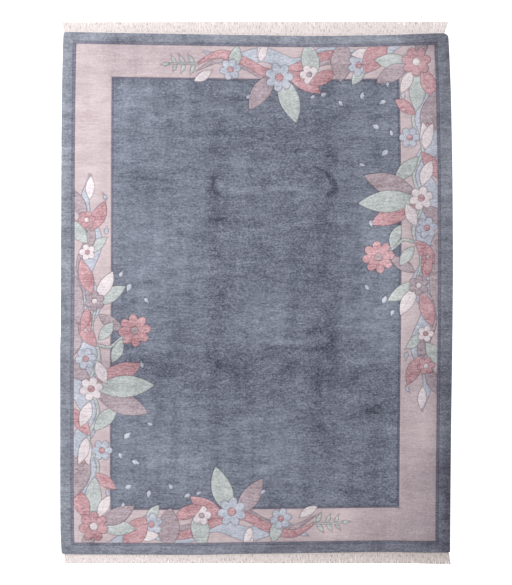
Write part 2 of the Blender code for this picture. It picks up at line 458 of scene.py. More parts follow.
@dataclass(frozen=True)
class Blossom:
    """Round-petalled flower seen from above. Its radius swings between the petals as a power of a cosine,
    and a line is carved between each two petals."""

    wool: Wool
    heart: Wool
    x: float
    y: float
    radius: float
    petals: int
    heading: float = 0.0
    depth: float = 0.34
    heart_size: float = 0.28
    petal_points: int = 8
    petal_roundness: float = 0.65
    rib_start: float = 1.3
    rib_end: float = 0.97
    rib_points: int = 4
    heart_points: int = 14

    def patches(self) -> list[Patch]:
        """The flower, then its heart.

        Returns:
            Two patches.
        """
        centre = np.array([self.x, self.y])
        around = np.linspace(0, 2 * math.pi, self.petals * self.petal_points, endpoint=False)
        swing = np.abs(np.cos(0.5 * self.petals * around)) ** self.petal_roundness
        radius = self.radius * (1 - self.depth + self.depth * swing)
        outline = centre + radius[:, None] * round_places(around + math.radians(self.heading))
        between = math.radians(self.heading) + (np.arange(self.petals) + 0.5) * 2 * math.pi / self.petals
        start, end = self.heart_size * self.rib_start, (1 - self.depth) * self.rib_end
        reach = self.radius * np.linspace(start, end, self.rib_points)[:, None]
        ribs = tuple(centre + reach * np.array([math.cos(turn), math.sin(turn)]) for turn in between)
        ring = round_places(np.linspace(0, 2 * math.pi, self.heart_points, endpoint=False))
        heart = centre + self.radius * self.heart_size * ring
        return [Patch(self.wool, outline, ribs), Patch(self.heart, heart)]


@dataclass(frozen=True)
class Tulip:
    """Tulip seen from the side: a middle petal, and two that lean apart in front of it."""

    wool: Wool
    inner: Wool
    x: float
    y: float
    length: float
    width: float
    heading: float
    lean: float = 24.0
    petal_width: float = 0.46
    curl: float = 0.22
    inner_fullness: float = 0.9
    outer_fullness: float = 0.78

    def patches(self) -> list[Patch]:
        """The middle petal, then the outer ones.

        Returns:
            Three patches.
        """
        size = (self.x, self.y, self.length, self.petal_width * self.width)
        petals = [Leaf(self.inner, *size, self.heading, 0.0, self.inner_fullness, veined=False)]
        for side in (1, -1):
            shape = (self.heading + side * self.lean, -side * self.curl, self.outer_fullness)
            petals.append(Leaf(self.wool, *size, *shape, veined=False))
        return [patch for petal in petals for patch in petal.patches()]


@dataclass(frozen=True)
class Ribbon:
    """Band of even width along a smooth curve; taper gives the share of the width left at its two ends."""

    wool: Wool
    width: float
    taper: tuple[float, float]
    route: tuple[tuple[float, float], ...]
    rough_samples: int = 40
    swelling: float = 6.0
    thinnest: float = 0.02
    roundness: float = 0.7

    def patches(self) -> list[Patch]:
        """The band.

        Returns:
            One patch.
        """
        samples = steps_over(path_length(curve_through(self.route, self.rough_samples)))
        path = curve_through(self.route, samples)
        along = np.linspace(0, 1, samples)
        start, end = self.taper[0] + along * self.swelling, self.taper[1] + (1 - along) * self.swelling
        swell = np.clip(np.minimum(start, end), self.thinnest, 1) ** self.roundness
        side = left_normals(path) * (0.5 * self.width * swell)[:, None]
        return [Patch(self.wool, np.vstack([path + side, (path - side)[::-1]]))]


@dataclass(frozen=True)
class Sprig:
    """Twig with pairs of small leaves and one at its tip."""

    wool: Wool
    x: float
    y: float
    length: float
    heading: float
    pairs: int
    leaf: float
    bend: float = 0.1
    samples: int = 30
    twig_every: int = 7
    twig_width: float = 0.011
    twig_taper: tuple[float, float] = (0.6, 0.3)
    first_pair: float = 0.6
    past_last_pair: float = 0.4
    shrinking: float = 0.35
    spread: float = 62.0
    swing: float = 25.0
    slimness: float = 0.42
    leaf_bend: float = 0.06
    fullness: float = 0.9
    tip_before_end: int = 4
    tip_size: tuple[float, float] = (0.85, 0.36)

    def patches(self) -> list[Patch]:
        """The leaves, and the twig over them.

        Returns:
            A patch for each leaf, and the twig's.
        """
        place = (self.x, self.y, self.length, self.twig_width, self.heading)
        path = Leaf(self.wool, *place, self.bend).axis(self.samples)
        leaves = []
        for pair in range(self.pairs):
            share = (pair + self.first_pair) / (self.pairs + self.past_last_pair)
            at = path[int(share * (self.samples - 2))]
            size = self.leaf * (1 - self.shrinking * pair / self.pairs)
            for turn in (self.spread, -self.spread):
                heading = self.heading + turn + self.swing * self.bend
                shape = (size, self.slimness * size, heading, self.leaf_bend, self.fullness, False)
                leaves.append(Leaf(self.wool, *at, *shape))
        length, width = (share * self.leaf for share in self.tip_size)
        tip = path[-self.tip_before_end]
        leaves.append(Leaf(self.wool, *tip, length, width, self.heading, 0.0, self.fullness, False))
        twig = Ribbon(self.wool, self.twig_width, self.twig_taper, tuple(map(tuple, path[::self.twig_every])))
        return [patch for part in (*leaves, twig) for patch in part.patches()]


ROSE_RIBBON = (
    (-0.4, 1.47), (-0.24, 1.545), (-0.07, 1.5), (0.07, 1.43), (0.24, 1.455), (0.4, 1.53), (0.56, 1.548),
    (0.72, 1.5),
)
MAUVE_RIBBON = tuple((x + 0.012, y - 0.036) for x, y in ROSE_RIBBON)
SIDE_STEM = (
    (1.055, 1.24), (1.01, 1.11), (1.07, 0.93), (1.01, 0.76), (1.06, 0.57), (1.005, 0.4),
    (1.055, 0.22), (1.015, 0.06),
)

# The garland of the top right corner, the lowest motif first
GARLAND: tuple[Motif, ...] = (
    # bands that wind behind the flowers
    Ribbon(
        SKY, 0.092, (0.0, 0.1),
        ((-0.34, 1.56), (-0.16, 1.5), (0.05, 1.545), (0.26, 1.48), (0.48, 1.56), (0.72, 1.52), (0.94, 1.6)),
    ),
    Ribbon(
        SKY, 0.112, (0.1, 0.0),
        ((1.13, 1.34), (1.055, 1.16), (1.125, 0.97), (1.05, 0.79), (1.125, 0.61), (1.045, 0.43),
         (1.12, 0.24), (1.05, 0.06), (1.11, -0.12), (1.045, -0.33), (1.105, -0.54), (1.07, -0.76)),
    ),
    Ribbon(MAUVE, 0.074, (0.1, 0.1), ((1.175, 0.4), (1.14, 0.24), (1.145, 0.04), (1.175, -0.12))),
    Ribbon(MAUVE, 0.036, (0.1, 0.0), ((1.095, 0.02), (1.138, -0.18), (1.085, -0.38), (1.142, -0.6))),
    Ribbon(MAUVE, 0.044, (0.0, 0.0), MAUVE_RIBBON),
    Ribbon(ROSE, 0.056, (0.0, 0.0), ROSE_RIBBON),
    # start of the end border
    Sprig(SAGE, -0.37, 1.478, 0.2, 186, 3, 0.072, -0.1),
    Leaf(IVORY, -0.285, 1.44, 0.135, 0.058, 205, 0.1),
    Leaf(SAGE, -0.115, 1.605, 0.165, 0.08, 248, 0.1),
    Blossom(SKY, ROSE, -0.165, 1.448, 0.07, 6, 12),
    # spray that hangs into the field
    Leaf(SAGE, 0.15, 1.42, 0.33, 0.132, 283, 0.1),
    Leaf(MAUVE, 0.125, 1.425, 0.29, 0.118, 240, -0.1),
    Leaf(ROSE, 0.19, 1.435, 0.265, 0.104, 322, 0.12),
    Blossom(SKY, ROSE, 0.15, 1.4, 0.094, 7, 5),
    Tulip(IVORY, ROSE, 0.03, 1.5, 0.125, 0.115, 80),
    # between the spray and the corner
    Leaf(SAGE, 0.34, 1.63, 0.245, 0.118, 285, -0.1),
    Blossom(IVORY, MAUVE, 0.345, 1.42, 0.064, 5, 40),
    Leaf(ROSE, 0.52, 1.445, 0.195, 0.086, 200, 0.1),
    Leaf(MAUVE, 0.56, 1.635, 0.265, 0.142, 262, 0.08),
    Leaf(SAGE, 0.7, 1.48, 0.15, 0.07, 232, 0.1),
    Blossom(SKY, ROSE, 0.668, 1.478, 0.074, 6, 20),
    Leaf(IVORY, 0.76, 1.555, 0.14, 0.066, 190, -0.1),
    Leaf(ROSE, 0.85, 1.625, 0.245, 0.14, 238, -0.08),
    # stem of the side border, and the corner rosette over it
    Ribbon(SAGE, 0.021, (0.3, 0.3), SIDE_STEM),
    Leaf(SAGE, 1.0, 1.505, 0.23, 0.098, 172, 0.12),
    Leaf(MAUVE, 1.0, 1.475, 0.25, 0.104, 213, -0.1),
    Leaf(SAGE, 1.04, 1.44, 0.265, 0.108, 262, 0.1),
    Leaf(MAUVE, 1.06, 1.52, 0.14, 0.08, 75),
    Leaf(ROSE, 1.08, 1.45, 0.215, 0.098, 298, -0.1),
    Leaf(IVORY, 1.01, 1.44, 0.165, 0.07, 238, 0.08),
    Blossom(ROSE, IVORY, 1.04, 1.492, 0.096, 7, 10, 0.3, 0.28),
    # side border
    Leaf(MAUVE, 1.18, 1.32, 0.33, 0.15, 246, 0.1),
    Leaf(ROSE, 1.025, 1.15, 0.165, 0.072, 148, -0.1),
    Blossom(SKY, ROSE, 0.985, 1.005, 0.068, 6),
    Tulip(IVORY, ROSE, 1.085, 0.925, 0.175, 0.15, 84),
    Leaf(ROSE, 1.06, 0.91, 0.215, 0.086, 298, 0.1),
    Leaf(SAGE, 1.035, 0.88, 0.215, 0.092, 218, 0.12),
    # fan that stands into the field
    Leaf(MAUVE, 1.02, 0.655, 0.345, 0.136, 157, 0.08),
    Leaf(ROSE, 1.02, 0.56, 0.31, 0.122, 206, -0.08),
    Leaf(SAGE, 1.035, 0.61, 0.385, 0.142, 182, 0.03),
    Leaf(IVORY, 1.06, 0.69, 0.175, 0.078, 62, 0.1),
    Leaf(MAUVE, 1.06, 0.56, 0.215, 0.098, 312, 0.12),
    Blossom(IVORY, ROSE, 1.055, 0.612, 0.078, 6, 15),
    # flower in the field
    Ribbon(SAGE, 0.02, (0.5, 0.5), ((1.01, 0.33), (0.94, 0.345), (0.87, 0.29), (0.8, 0.245))),
    Leaf(SAGE, 0.86, 0.29, 0.165, 0.072, 62, 0.1),
    Leaf(MAUVE, 0.85, 0.235, 0.19, 0.078, 322, 0.1),
    Blossom(ROSE, MAUVE, 0.78, 0.235, 0.106, 8, 8, 0.3, 0.24),
    # lower side border
    Leaf(IVORY, 1.02, 0.43, 0.16, 0.074, 118, -0.08),
    Blossom(SKY, ROSE, 1.09, 0.42, 0.07, 6, 10),
    Leaf(ROSE, 1.02, 0.34, 0.19, 0.084, 302, 0.1),
    Leaf(SAGE, 1.01, 0.3, 0.15, 0.072, 238, -0.1),
    Tulip(ROSE, IVORY, 1.08, 0.095, 0.155, 0.13, 84),
    Leaf(SAGE, 1.03, 0.08, 0.23, 0.09, 208, 0.1),
    Leaf(IVORY, 1.03, 0.04, 0.21, 0.084, 246, -0.12),
    Leaf(ROSE, 1.05, 0.01, 0.24, 0.092, 284, 0.08),
    Blossom(MAUVE, IVORY, 1.038, 0.05, 0.066, 6, 25),
    Leaf(SAGE, 1.085, -0.25, 0.165, 0.07, 215, 0.1),
    Leaf(MAUVE, 1.085, -0.27, 0.165, 0.066, 262, -0.06),
    Blossom(IVORY, ROSE, 1.085, -0.262, 0.054, 5),
    Leaf(SAGE, 1.085, -0.32, 0.19, 0.092, 300, 0.1),
    Leaf(ROSE, 1.06, -0.4, 0.21, 0.088, 250, -0.08),
    Leaf(MAUVE, 1.09, -0.48, 0.2, 0.084, 290, 0.1),
    Blossom(ROSE, IVORY, 1.09, -0.47, 0.058, 6, 10),
    Leaf(IVORY, 1.07, -0.6, 0.15, 0.058, 262, 0.08),
    # loose petals
    *(Petal(SKY, *row) for row in (
        (0.345, 1.265, 0.04, 20), (0.46, 1.305, 0.05, 200), (0.56, 1.215, 0.046, 120),
        (0.69, 1.31, 0.054, 250), (0.79, 1.225, 0.052, 15), (0.85, 1.33, 0.04, 80),
        (0.74, 1.09, 0.058, 330), (0.86, 1.06, 0.046, 280), (0.8, 0.885, 0.062, 35),
        (0.7, 0.83, 0.044, 160), (0.74, 0.43, 0.048, 100), (0.69, 0.06, 0.046, 300),
        (0.83, -0.01, 0.06, 240), (0.86, -0.15, 0.048, 60), (0.955, 1.25, 0.05, 95),
        (0.96, -0.43, 0.052, 75), (0.985, -0.64, 0.046, 110), (-0.03, 1.29, 0.046, 210),
    )),
)


@dataclass(frozen=True)
class Reading:
    """What shows at each of many places: the wool's number, and the distance to the nearest carved line."""

    wool: Array
    line: Array


@dataclass(frozen=True)
class Drawing:
    """The rug's whole design on the nominal rug.

    It is painted from the border up: the inner line, the field, the garlands, then the outer line and the
    band, which cut the garlands off. A patch hides the lines under it, so a place's nearest line is reset to
    the patch's own where the patch covers it, and is the nearer of the two elsewhere.
    """

    cloth: Cloth
    outer: FrameLine = FrameLine(0.070, 0.0755, 0.055, 0.055, 0.018)
    inner: FrameLine = FrameLine(0.324, 0.331, 0.282, 0.287, 0.011)
    rib_depth: float = 0.003
    reach: float = 0.024

    def rectangle(self, line: FrameLine, inset: float) -> tuple[Array, Array]:
        """Low and high corner of a frame line's rectangle, moved in by inset.

        Args:
            line: the frame line.
            inset: distance in from its outer edge.

        Returns:
            The two corners.
        """
        low = (-self.cloth.half_width + line.left + inset, -self.cloth.half_length + line.bottom + inset)
        high = (self.cloth.half_width - line.right - inset, self.cloth.half_length - line.top - inset)
        return np.array(low), np.array(high)

    def rectangles(self) -> list[tuple[Array, Array]]:
        """Both edges of both frame lines, from the outermost in."""
        lines = (self.outer, self.inner)
        return [self.rectangle(line, inset) for line in lines for inset in (0.0, line.width)]

    def garland(self) -> list[Patch]:
        """The patches of the top right garland and of its copy turned half round."""
        corner = [patch for motif in GARLAND for patch in motif.patches()]
        return corner + [patch.turned() for patch in corner]

    def read(self, points: Array) -> Reading:
        """Reads the design at many places at once.

        Args:
            points: places on the nominal rug.

        Returns:
            What shows at each of them.
        """
        band, dark, light, field = (depth_inside(points, *box) for box in self.rectangles())
        wool = np.full(len(points), WOOLS.index(BORDER))
        wool[light > 0] = WOOLS.index(LINE)
        wool[field > 0] = WOOLS.index(FIELD)
        line = np.minimum(np.abs(light), np.abs(field))
        for patch in self.garland():
            self.paint(patch, points, wool, line)
        for inside, frame_wool in ((dark, EDGE), (band, BAND)):
            line = np.where(inside < 0, np.abs(inside), np.minimum(line, np.abs(inside)))
            wool[inside < 0] = WOOLS.index(frame_wool)
        return Reading(wool, line)

    def paint(self, patch: Patch, points: Array, wool: Array, line: Array) -> None:
        """Lays one patch over what is read so far.

        Args:
            patch: the patch to lay.
            points: places on the nominal rug.
            wool: the wool's number at each place so far, changed where the patch covers it.
            line: the distance to the nearest carved line so far, changed near the patch.
        """
        low, high = patch.outline.min(axis=0) - self.reach, patch.outline.max(axis=0) + self.reach
        near = np.flatnonzero(((points > low) & (points < high)).all(axis=1))
        if not len(near):
            return
        here = points[near]
        covered = inside_polygon(here, patch.outline)
        away = distance_to_path(here, looped(patch.outline))
        under = np.where(covered, np.inf, line[near])
        for rib in patch.ribs:
            to_rib = distance_to_path(here, rib) + self.rib_depth
            under = np.where(covered, np.minimum(under, to_rib), under)
        line[near] = np.minimum(under, away)
        wool[near[covered]] = WOOLS.index(patch.wool)


def depth_inside(points: Array, low: Array, high: Array) -> Array:
    """How far points lie inside a rectangle, below nought outside it.

    Args:
        points: places on the plane.
        low: the rectangle's low corner.
        high: its high corner.

    Returns:
        The distance in from the rectangle for each place.
    """
    over = np.abs(points - 0.5 * (low + high)) - 0.5 * (high - low)
    outside = np.linalg.norm(np.maximum(over, 0.0), axis=1)
    return -np.where(outside > 0, outside, over.max(axis=1))


def inside_polygon(points: Array, polygon: Array) -> Array:
    """Whether points lie in a closed polygon, by the number of its edges to their right.

    Args:
        points: places on the plane.
        polygon: its corners, in order.

    Returns:
        True or False for each place.
    """
    x, y = points[:, :1], points[:, 1:]
    start, end = polygon, np.roll(polygon, -1, axis=0)
    spans = (start[:, 1] > y) != (end[:, 1] > y)
    rise = np.where(end[:, 1] == start[:, 1], 1.0, end[:, 1] - start[:, 1])
    crossing = start[:, 0] + (y - start[:, 1]) / rise * (end[:, 0] - start[:, 0])
    return (spans & (x < crossing)).sum(axis=1) % 2 == 1


def distance_to_path(points: Array, path: Array) -> Array:
    """Distance from points to the nearest of a path's straight pieces.

    Args:
        points: places on the plane.
        path: the path's points, in order.

    Returns:
        The distance for each place.
    """
    start, step = path[:-1], np.diff(path, axis=0)
    length = np.maximum((step**2).sum(axis=1), 1e-12)
    from_start = points[:, None, :] - start[None]
    t = np.clip((from_start * step).sum(axis=2) / length, 0, 1)
    return np.sqrt(((from_start - t[..., None] * step) ** 2).sum(axis=2).min(axis=1))


class CreaseRow(NamedTuple):
    """One pressed mark in the pile: its route, its half width, and how strongly it is pressed, which sets its
    depth and how dark its painted shade is.
    """

    route: tuple[tuple[float, float], ...]
    width: float
    strength: float


CREASES = rows_of(
    CreaseRow,
    (((0.376, 0.82), (0.422, 0.8), (0.455, 0.778)), 0.009, 0.8),
    (((0.45, 0.78), (0.48, 0.745), (0.499, 0.712), (0.508, 0.684), (0.49, 0.658), (0.462, 0.642)), 0.02, 1.0),
    (((-0.276, 0.75), (-0.28, 0.71), (-0.284, 0.672)), 0.009, 1.0),
    (((-0.308, 0.664), (-0.27, 0.66), (-0.246, 0.646)), 0.017, 1.0),
    (((-0.3, 0.486), (-0.262, 0.482), (-0.2, 0.49)), 0.008, 1.0),
    (((-0.245, 0.112), (-0.15, 0.118), (-0.055, 0.11)), 0.006, 0.5),
)


class MarkRow(NamedTuple):
    """One soft mark: folding and wear, and painted shade where it spans the whole rug. Its middle, its half
    sizes, and how much darker it is, or paler below nought."""

    x: float
    y: float
    reach_x: float
    reach_y: float
    depth: float


MARKS = rows_of(
    MarkRow,
    # sides and ends of the whole rug: painted shade, mostly paler to the left and darker to the right and
    # lower right
    (1.35, -0.5, 0.9, 2.6, 0.22), (1.3, -1.85, 1.0, 0.7, 0.14), (-1.35, 0.4, 0.5, 1.9, -0.1),
    (0.3, 1.75, 0.9, 0.4, -0.06), (1.18, 1.6, 0.2, 0.12, 0.2), (-0.75, 1.55, 0.35, 0.2, 0.14),
    (0.0, 0.25, 0.75, 1.1, 0.13), (0.22, -1.64, 0.3, 0.06, 0.22),
    # outer band and border
    (-0.95, 1.47, 0.24, 0.11, 0.08), (0.1, -1.645, 1.0, 0.045, 0.08), (1.25, -1.25, 0.075, 0.48, 0.42),
    (1.25, 1.4, 0.075, 0.22, 0.24), (1.25, -0.62, 0.075, 0.18, 0.14), (-1.24, -0.57, 0.09, 0.18, 0.2),
    (-1.24, -1.35, 0.09, 0.2, -0.2), (-0.85, 1.64, 0.17, 0.05, 0.14), (0.45, 1.64, 0.35, 0.05, -0.16),
    (-1.02, -0.55, 0.2, 0.9, 0.08), (1.02, 0.5, 0.18, 0.8, -0.06), (0.52, -1.48, 0.11, 0.11, -0.26),
    (1.05, -1.55, 0.26, 0.12, 0.06), (1.06, -0.9, 0.1, 0.12, -0.14), (1.06, -1.21, 0.1, 0.1, 0.12),
    (-0.42, 1.64, 0.12, 0.05, -0.16), (-0.13, 1.64, 0.12, 0.05, 0.12), (0.76, 1.64, 0.14, 0.05, -0.1),
    (1.08, 1.64, 0.13, 0.05, 0.22),
    # where it was folded along and across
    (-0.252, -0.17, 0.05, 0.77, 0.18), (0.44, 0.0, 0.105, 0.96, 0.16), (0.0, -0.497, 1.5, 0.14, 0.18),
    # broad darker and paler patches of the field
    (0.764, -0.663, 0.13, 0.16, 0.2), (0.757, 0.36, 0.16, 0.29, -0.28), (0.75, 1.0, 0.3, 0.4, -0.12),
    (0.78, -0.25, 0.26, 0.5, -0.27), (-0.617, 0.16, 0.29, 0.29, -0.1),
    (-0.361, -1.065, 0.58, 0.22, -0.16), (0.086, -0.088, 0.26, 0.16, -0.1),
    (-0.821, 1.235, 0.13, 0.13, -0.1), (0.15, 1.02, 0.57, 0.13, 0.12), (-0.68, -0.455, 0.28, 0.06, 0.14),
    # smudges and streaks
    (-0.712, 0.085, 0.042, 0.024, 0.46), (-0.489, 0.392, 0.024, 0.032, 0.24),
    (-0.048, 0.82, 0.026, 0.038, 0.28), (0.495, 0.903, 0.032, 0.028, 0.32),
    (-0.22, -0.426, 0.062, 0.042, 0.13), (0.02, -0.407, 0.08, 0.014, 0.28),
    (0.355, -0.24, 0.047, 0.037, 0.3), (0.502, -0.279, 0.04, 0.034, 0.38),
    (-0.035, -0.676, 0.03, 0.03, 0.36), (0.406, -0.6, 0.028, 0.075, 0.28),
    (0.406, -0.854, 0.028, 0.036, 0.42), (0.738, -0.759, 0.064, 0.036, 0.3),
    (0.642, -0.535, 0.042, 0.047, 0.32), (0.847, -0.573, 0.042, 0.06, 0.26),
    (0.642, -1.276, 0.08, 0.032, 0.36), (-0.316, 1.318, 0.07, 0.06, 0.24),
    (-0.604, 1.299, 0.07, 0.04, 0.16), (-0.112, 0.864, 0.06, 0.036, -0.28),
    (0.27, 0.673, 0.18, 0.016, -0.34), (-0.12, 0.66, 0.09, 0.022, -0.26),
    (-0.236, 0.69, 0.018, 0.024, -0.45), (0.125, -0.299, 0.27, 0.014, -0.26),
    (0.248, -0.356, 0.36, 0.014, 0.24), (0.17, 0.743, 0.17, 0.011, 0.22),
    (-0.62, 0.743, 0.28, 0.014, 0.16), (-0.24, -0.01, 0.06, 0.06, 0.18),
    (0.156, -0.888, 0.05, 0.024, 0.22), (0.62, -0.33, 0.2, 0.06, 0.1),
    # round the pressed marks
    (-0.272, 0.69, 0.04, 0.05, 0.15), (-0.245, 0.48, 0.09, 0.034, 0.26),
    (-0.245, 0.57, 0.11, 0.045, 0.08),
)


@dataclass(frozen=True)
class PileShape:
    """Heights of the cut pile above the floor.

    Every carved line reaches the same depth, and the pile rises from it as one minus a bell curve of the
    distance. Flowers are left a little longer than the ground, with a soft crown. The pile's outer edge is a
    quarter of an ellipse.
    """

    cloth: Cloth
    bottom: float = 0.0033
    groove: float = 0.0098
    groove_width: float = 0.0028
    field: float = 0.0124
    band: float = 0.0126
    dark_line: float = 0.0102
    flower: float = 0.0127
    crown: float = 0.0005
    crown_reach: float = 0.018
    wall_top: float = 0.0072
    edge_round: float = 0.0070
    top: float = 0.0130
    crease_depth: float = 0.0015
    crease_samples: int = 18
    crease_stray: Relief = Relief(0.004, (0.030, 0.014), 21)
    mark_strays: tuple[Relief, ...] = (Relief(0.014, (0.110, 0.075), 31), Relief(0.007, (0.036, 0.022), 33))
    uneven: tuple[Relief, ...] = (Relief(0.00030, (0.150, 0.090), 3), Relief(0.00022, (0.048, 0.017), 5))

    def base(self, wool: Array) -> Array:
        """Full height of each wool's pile."""
        line = self.dark_line
        heights = {FIELD: self.field, BAND: self.band, BORDER: self.band, EDGE: line, LINE: line}
        return np.array([heights.get(each, self.flower) for each in WOOLS])[wool]

    def creased(self, points: Array) -> Array:
        """How strongly a crease presses each place, from 0 to 1, which sets its depth and its painted shade:
        a bell curve across its wavering route.

        Args:
            points: places on the nominal rug.

        Returns:
            The strength at each place.
        """
        strayed = self.crease_stray.moved(points, points)
        pressed = np.zeros(len(points))
        for crease in CREASES:
            away = distance_to_path(strayed, curve_through(crease.route, self.crease_samples))
            pressed = np.maximum(pressed, crease.strength * np.exp(-((away / crease.width) ** 2)))
        return pressed

    def wear_and_shade(self, points: Array) -> Array:
        """How much darker each place is from folding and wear, and from painted shade over the whole rug:
        bell curves about the marks, whose edges waver by two scales of relief.

        Args:
            points: places on the nominal rug.

        Returns:
            The share of darkening at each place, below nought where paler.
        """
        strayed = points
        for stray in self.mark_strays:
            strayed = stray.moved(strayed, points)
        total = np.zeros(len(points))
        for mark in MARKS:
            away = (strayed - (mark.x, mark.y)) / (mark.reach_x, mark.reach_y)
            total += mark.depth * np.exp(-(away**2).sum(axis=1))
        return total

    def heights(self, points: Array, reading: Reading) -> Array:
        """Height of the pile at places of the nominal rug.

        Args:
            points: places on the nominal rug.
            reading: what shows at them.

        Returns:
            The height at each place.
        """
        rise = 1 - np.exp(-((reading.line / self.groove_width) ** 2))
        flowers = reading.wool >= len(GROUND_WOOLS)
        crown = np.where(flowers, self.crown * (1 - np.exp(-reading.line / self.crown_reach)), 0.0)
        uneven = sum(relief.at(points) for relief in self.uneven)
        height = self.groove + (self.base(reading.wool) - self.groove + crown + uneven) * rise
        height -= self.crease_depth * self.creased(points)
        inset = np.clip(self.cloth.inset(points) / self.edge_round, 0, 1)
        return height - (self.top - self.wall_top) * (1 - np.sqrt(1 - (1 - inset) ** 2))


@dataclass(frozen=True)
class Lines:
    """Polylines for a triangulation: their points, and pairs of point numbers."""

    points: Array
    edges: Array

    @staticmethod
    def joined(paths: Sequence[Array], closed: bool) -> Lines:
        """All of several paths, each closed on itself or open.

        Args:
            paths: the points of each path, in order.
            closed: whether each path ends where it starts.

        Returns:
            All of them as one set of lines.
        """
        points, edges, first = [], [], 0
        for path in paths:
            count = len(path)
            start = np.arange(count if closed else count - 1)
            edges.append(np.column_stack([start, (start + 1) % count]) + first)
            points.append(path)
            first += count
        return Lines(np.vstack(points), np.vstack(edges))

    def plus(self, other: Lines) -> Lines:
        """These lines and others."""
        edges = np.vstack([self.edges, other.edges + len(self.points)])
        return Lines(np.vstack([self.points, other.points]), edges)

    def used(self) -> Lines:
        """The same lines without the points that no edge has."""
        kept, numbered = np.unique(self.edges, return_inverse=True)
        return Lines(self.points[kept], numbered.reshape(-1, 2))


def triangulated(points: Array, edges: Array, holes: bool) -> tuple[Array, Array]:
    """Constrained Delaunay triangles of points, keeping the edges, inside their outermost ring.

    Args:
        points: places on the plane.
        edges: pairs of point numbers that stay edges; they may cross.
        holes: leave out what an even number of rings surround.

    Returns:
        The places, with one more at each crossing, and the triangles, facing up.
    """
    vectors = [Vector(point) for point in points.tolist()]
    made = delaunay_2d_cdt(vectors, edges.tolist(), [], 2 if holes else 1, 1e-7)
    places = np.array([tuple(place) for place in made[0]])
    triangles = np.array(made[2])
    a, b, c = (places[triangles[:, corner]] for corner in range(3))
    down = (b[:, 0] - a[:, 0]) * (c[:, 1] - a[:, 1]) < (b[:, 1] - a[:, 1]) * (c[:, 0] - a[:, 0])
    triangles[down] = triangles[down][:, ::-1]
    return places, triangles


@dataclass(frozen=True)
class PileGrid:
    """The triangles of the whole pile, seen from above, fine beside its carved lines and coarse elsewhere."""

    drawing: Drawing
    outline_step: float = 0.014
    frame_step: float = 0.024
    lattice: float = 0.0125
    beside_line: tuple[float, ...] = (0.0022, 0.0050, 0.0090)
    beside_edge: tuple[float, ...] = (0.0006, 0.0018, 0.0038, 0.0070)
    beside_crease: tuple[float, ...] = (0.0, 0.0045, 0.0090, 0.0140, 0.0200)
    line_clear: float = 0.0015
    crease_clear: float = 0.004
    edge_clear: float = 0.002
    tolerance: float = 0.0001
    own_share: float = 0.8
    running_on: float = 0.75
    crease_samples: int = 30

    def carved_lines(self) -> Lines:
        """Outlines and ribs of the garland, without the stretches that a later patch hides.

        Returns:
            The lines that show.
        """
        patches = self.drawing.garland()
        outlines = Lines.joined([patch.outline for patch in patches], True)
        ribs = Lines.joined([rib for patch in patches for rib in patch.ribs], False)
        kept = []
        for lines, level in ((outlines, 0.0), (ribs, self.drawing.rib_depth)):
            middle = lines.points[lines.edges].mean(axis=1)
            shown = self.drawing.read(middle).line <= level + self.tolerance
            kept.append(Lines(lines.points, lines.edges[shown]))
        return kept[0].plus(kept[1])

    def frame_edges(self) -> Lines:
        """Edges of the two dark frame lines.

        Returns:
            Both edges of both lines, each a closed loop.
        """
        loops = []
        for low, high in self.drawing.rectangles():
            corners = (low, (high[0], low[1]), high, (low[0], high[1]))
            sides = [straight(corners[i], corners[(i + 1) % 4], self.frame_step) for i in range(4)]
            loops.append(np.vstack(sides))
        return Lines.joined(loops, True)

    def beside(self, lines: Lines) -> Lines:
        """Rows of points on both sides of carved lines, joined where the line runs on without a sharp turn.

        Args:
            lines: the carved lines.

        Returns:
            The rows, without what lies nearer to another line.
        """
        start, end = lines.points[lines.edges[:, 0]], lines.points[lines.edges[:, 1]]
        along = (end - start) / np.maximum(np.linalg.norm(end - start, axis=1), 1e-9)[:, None]
        normal = np.column_stack([-along[:, 1], along[:, 0]])
        runs_on = (along[:-1] * along[1:]).sum(axis=1) > self.running_on
        runs_on &= lines.edges[:-1, 1] == lines.edges[1:, 0]
        points, edges, first = [], [], 0
        for offset in self.beside_line:
            for side in (offset, -offset):
                row = 0.5 * (start + end) + side * normal
                shown = self.drawing.read(row).line >= self.own_share * offset
                number = first + np.cumsum(shown) - 1
                joined = runs_on & shown[:-1] & shown[1:]
                points.append(row[shown])
                edges.append(np.column_stack([number[:-1], number[1:]])[joined])
                first += int(shown.sum())
        return Lines(np.vstack(points), np.vstack(edges))

    def between(self) -> Array:
        """Free points of a triangular lattice, kept clear of carved lines and of the outline.

        Returns:
            The places.
        """
        cloth = self.drawing.cloth
        rise = self.lattice * math.sqrt(0.75)
        x = np.arange(-cloth.half_width, cloth.half_width, self.lattice)
        y = np.arange(-cloth.half_length, cloth.half_length, rise)
        grid_x, grid_y = np.meshgrid(x, y)
        grid_x = grid_x + 0.5 * self.lattice * (np.arange(len(y)) % 2)[:, None]
        points = np.column_stack([grid_x.ravel(), grid_y.ravel()])
        points = points[cloth.inset(points) > self.beside_edge[-1] + 0.5 * self.lattice]
        points = points[self.drawing.read(points).line > self.beside_line[-1] + self.line_clear]
        fine = []
        for crease in CREASES:
            length = path_length(curve_through(crease.route, self.crease_samples))
            path = curve_through(crease.route, max(4, round(length / self.beside_crease[1])))
            side = left_normals(path)
            fine += [path + offset * side for near in self.beside_crease for offset in {near, -near}]
            points = points[distance_to_path(points, path) > self.beside_crease[-1] + self.crease_clear]
        return np.vstack([points, *fine])

    def build(self) -> tuple[Array, Array]:
        """The places and triangles of the whole pile.

        Returns:
            The places, and the triangles as their numbers.
        """
        cloth = self.drawing.cloth
        rings = [cloth.loop(inset, self.outline_step) for inset in (0.0, *self.beside_edge)]
        carved, frames = self.carved_lines(), self.frame_edges()
        lines = Lines.joined(rings, True).plus(carved).plus(frames)
        for rows in (self.beside(carved), self.beside(frames)):
            clear = cloth.inset(rows.points[rows.edges].mean(axis=1)) > self.beside_edge[-1] + self.edge_clear
            lines = lines.plus(Lines(rows.points, rows.edges[clear]))
        lines = lines.used()
        return triangulated(np.vstack([lines.points, self.between()]), lines.edges, False)


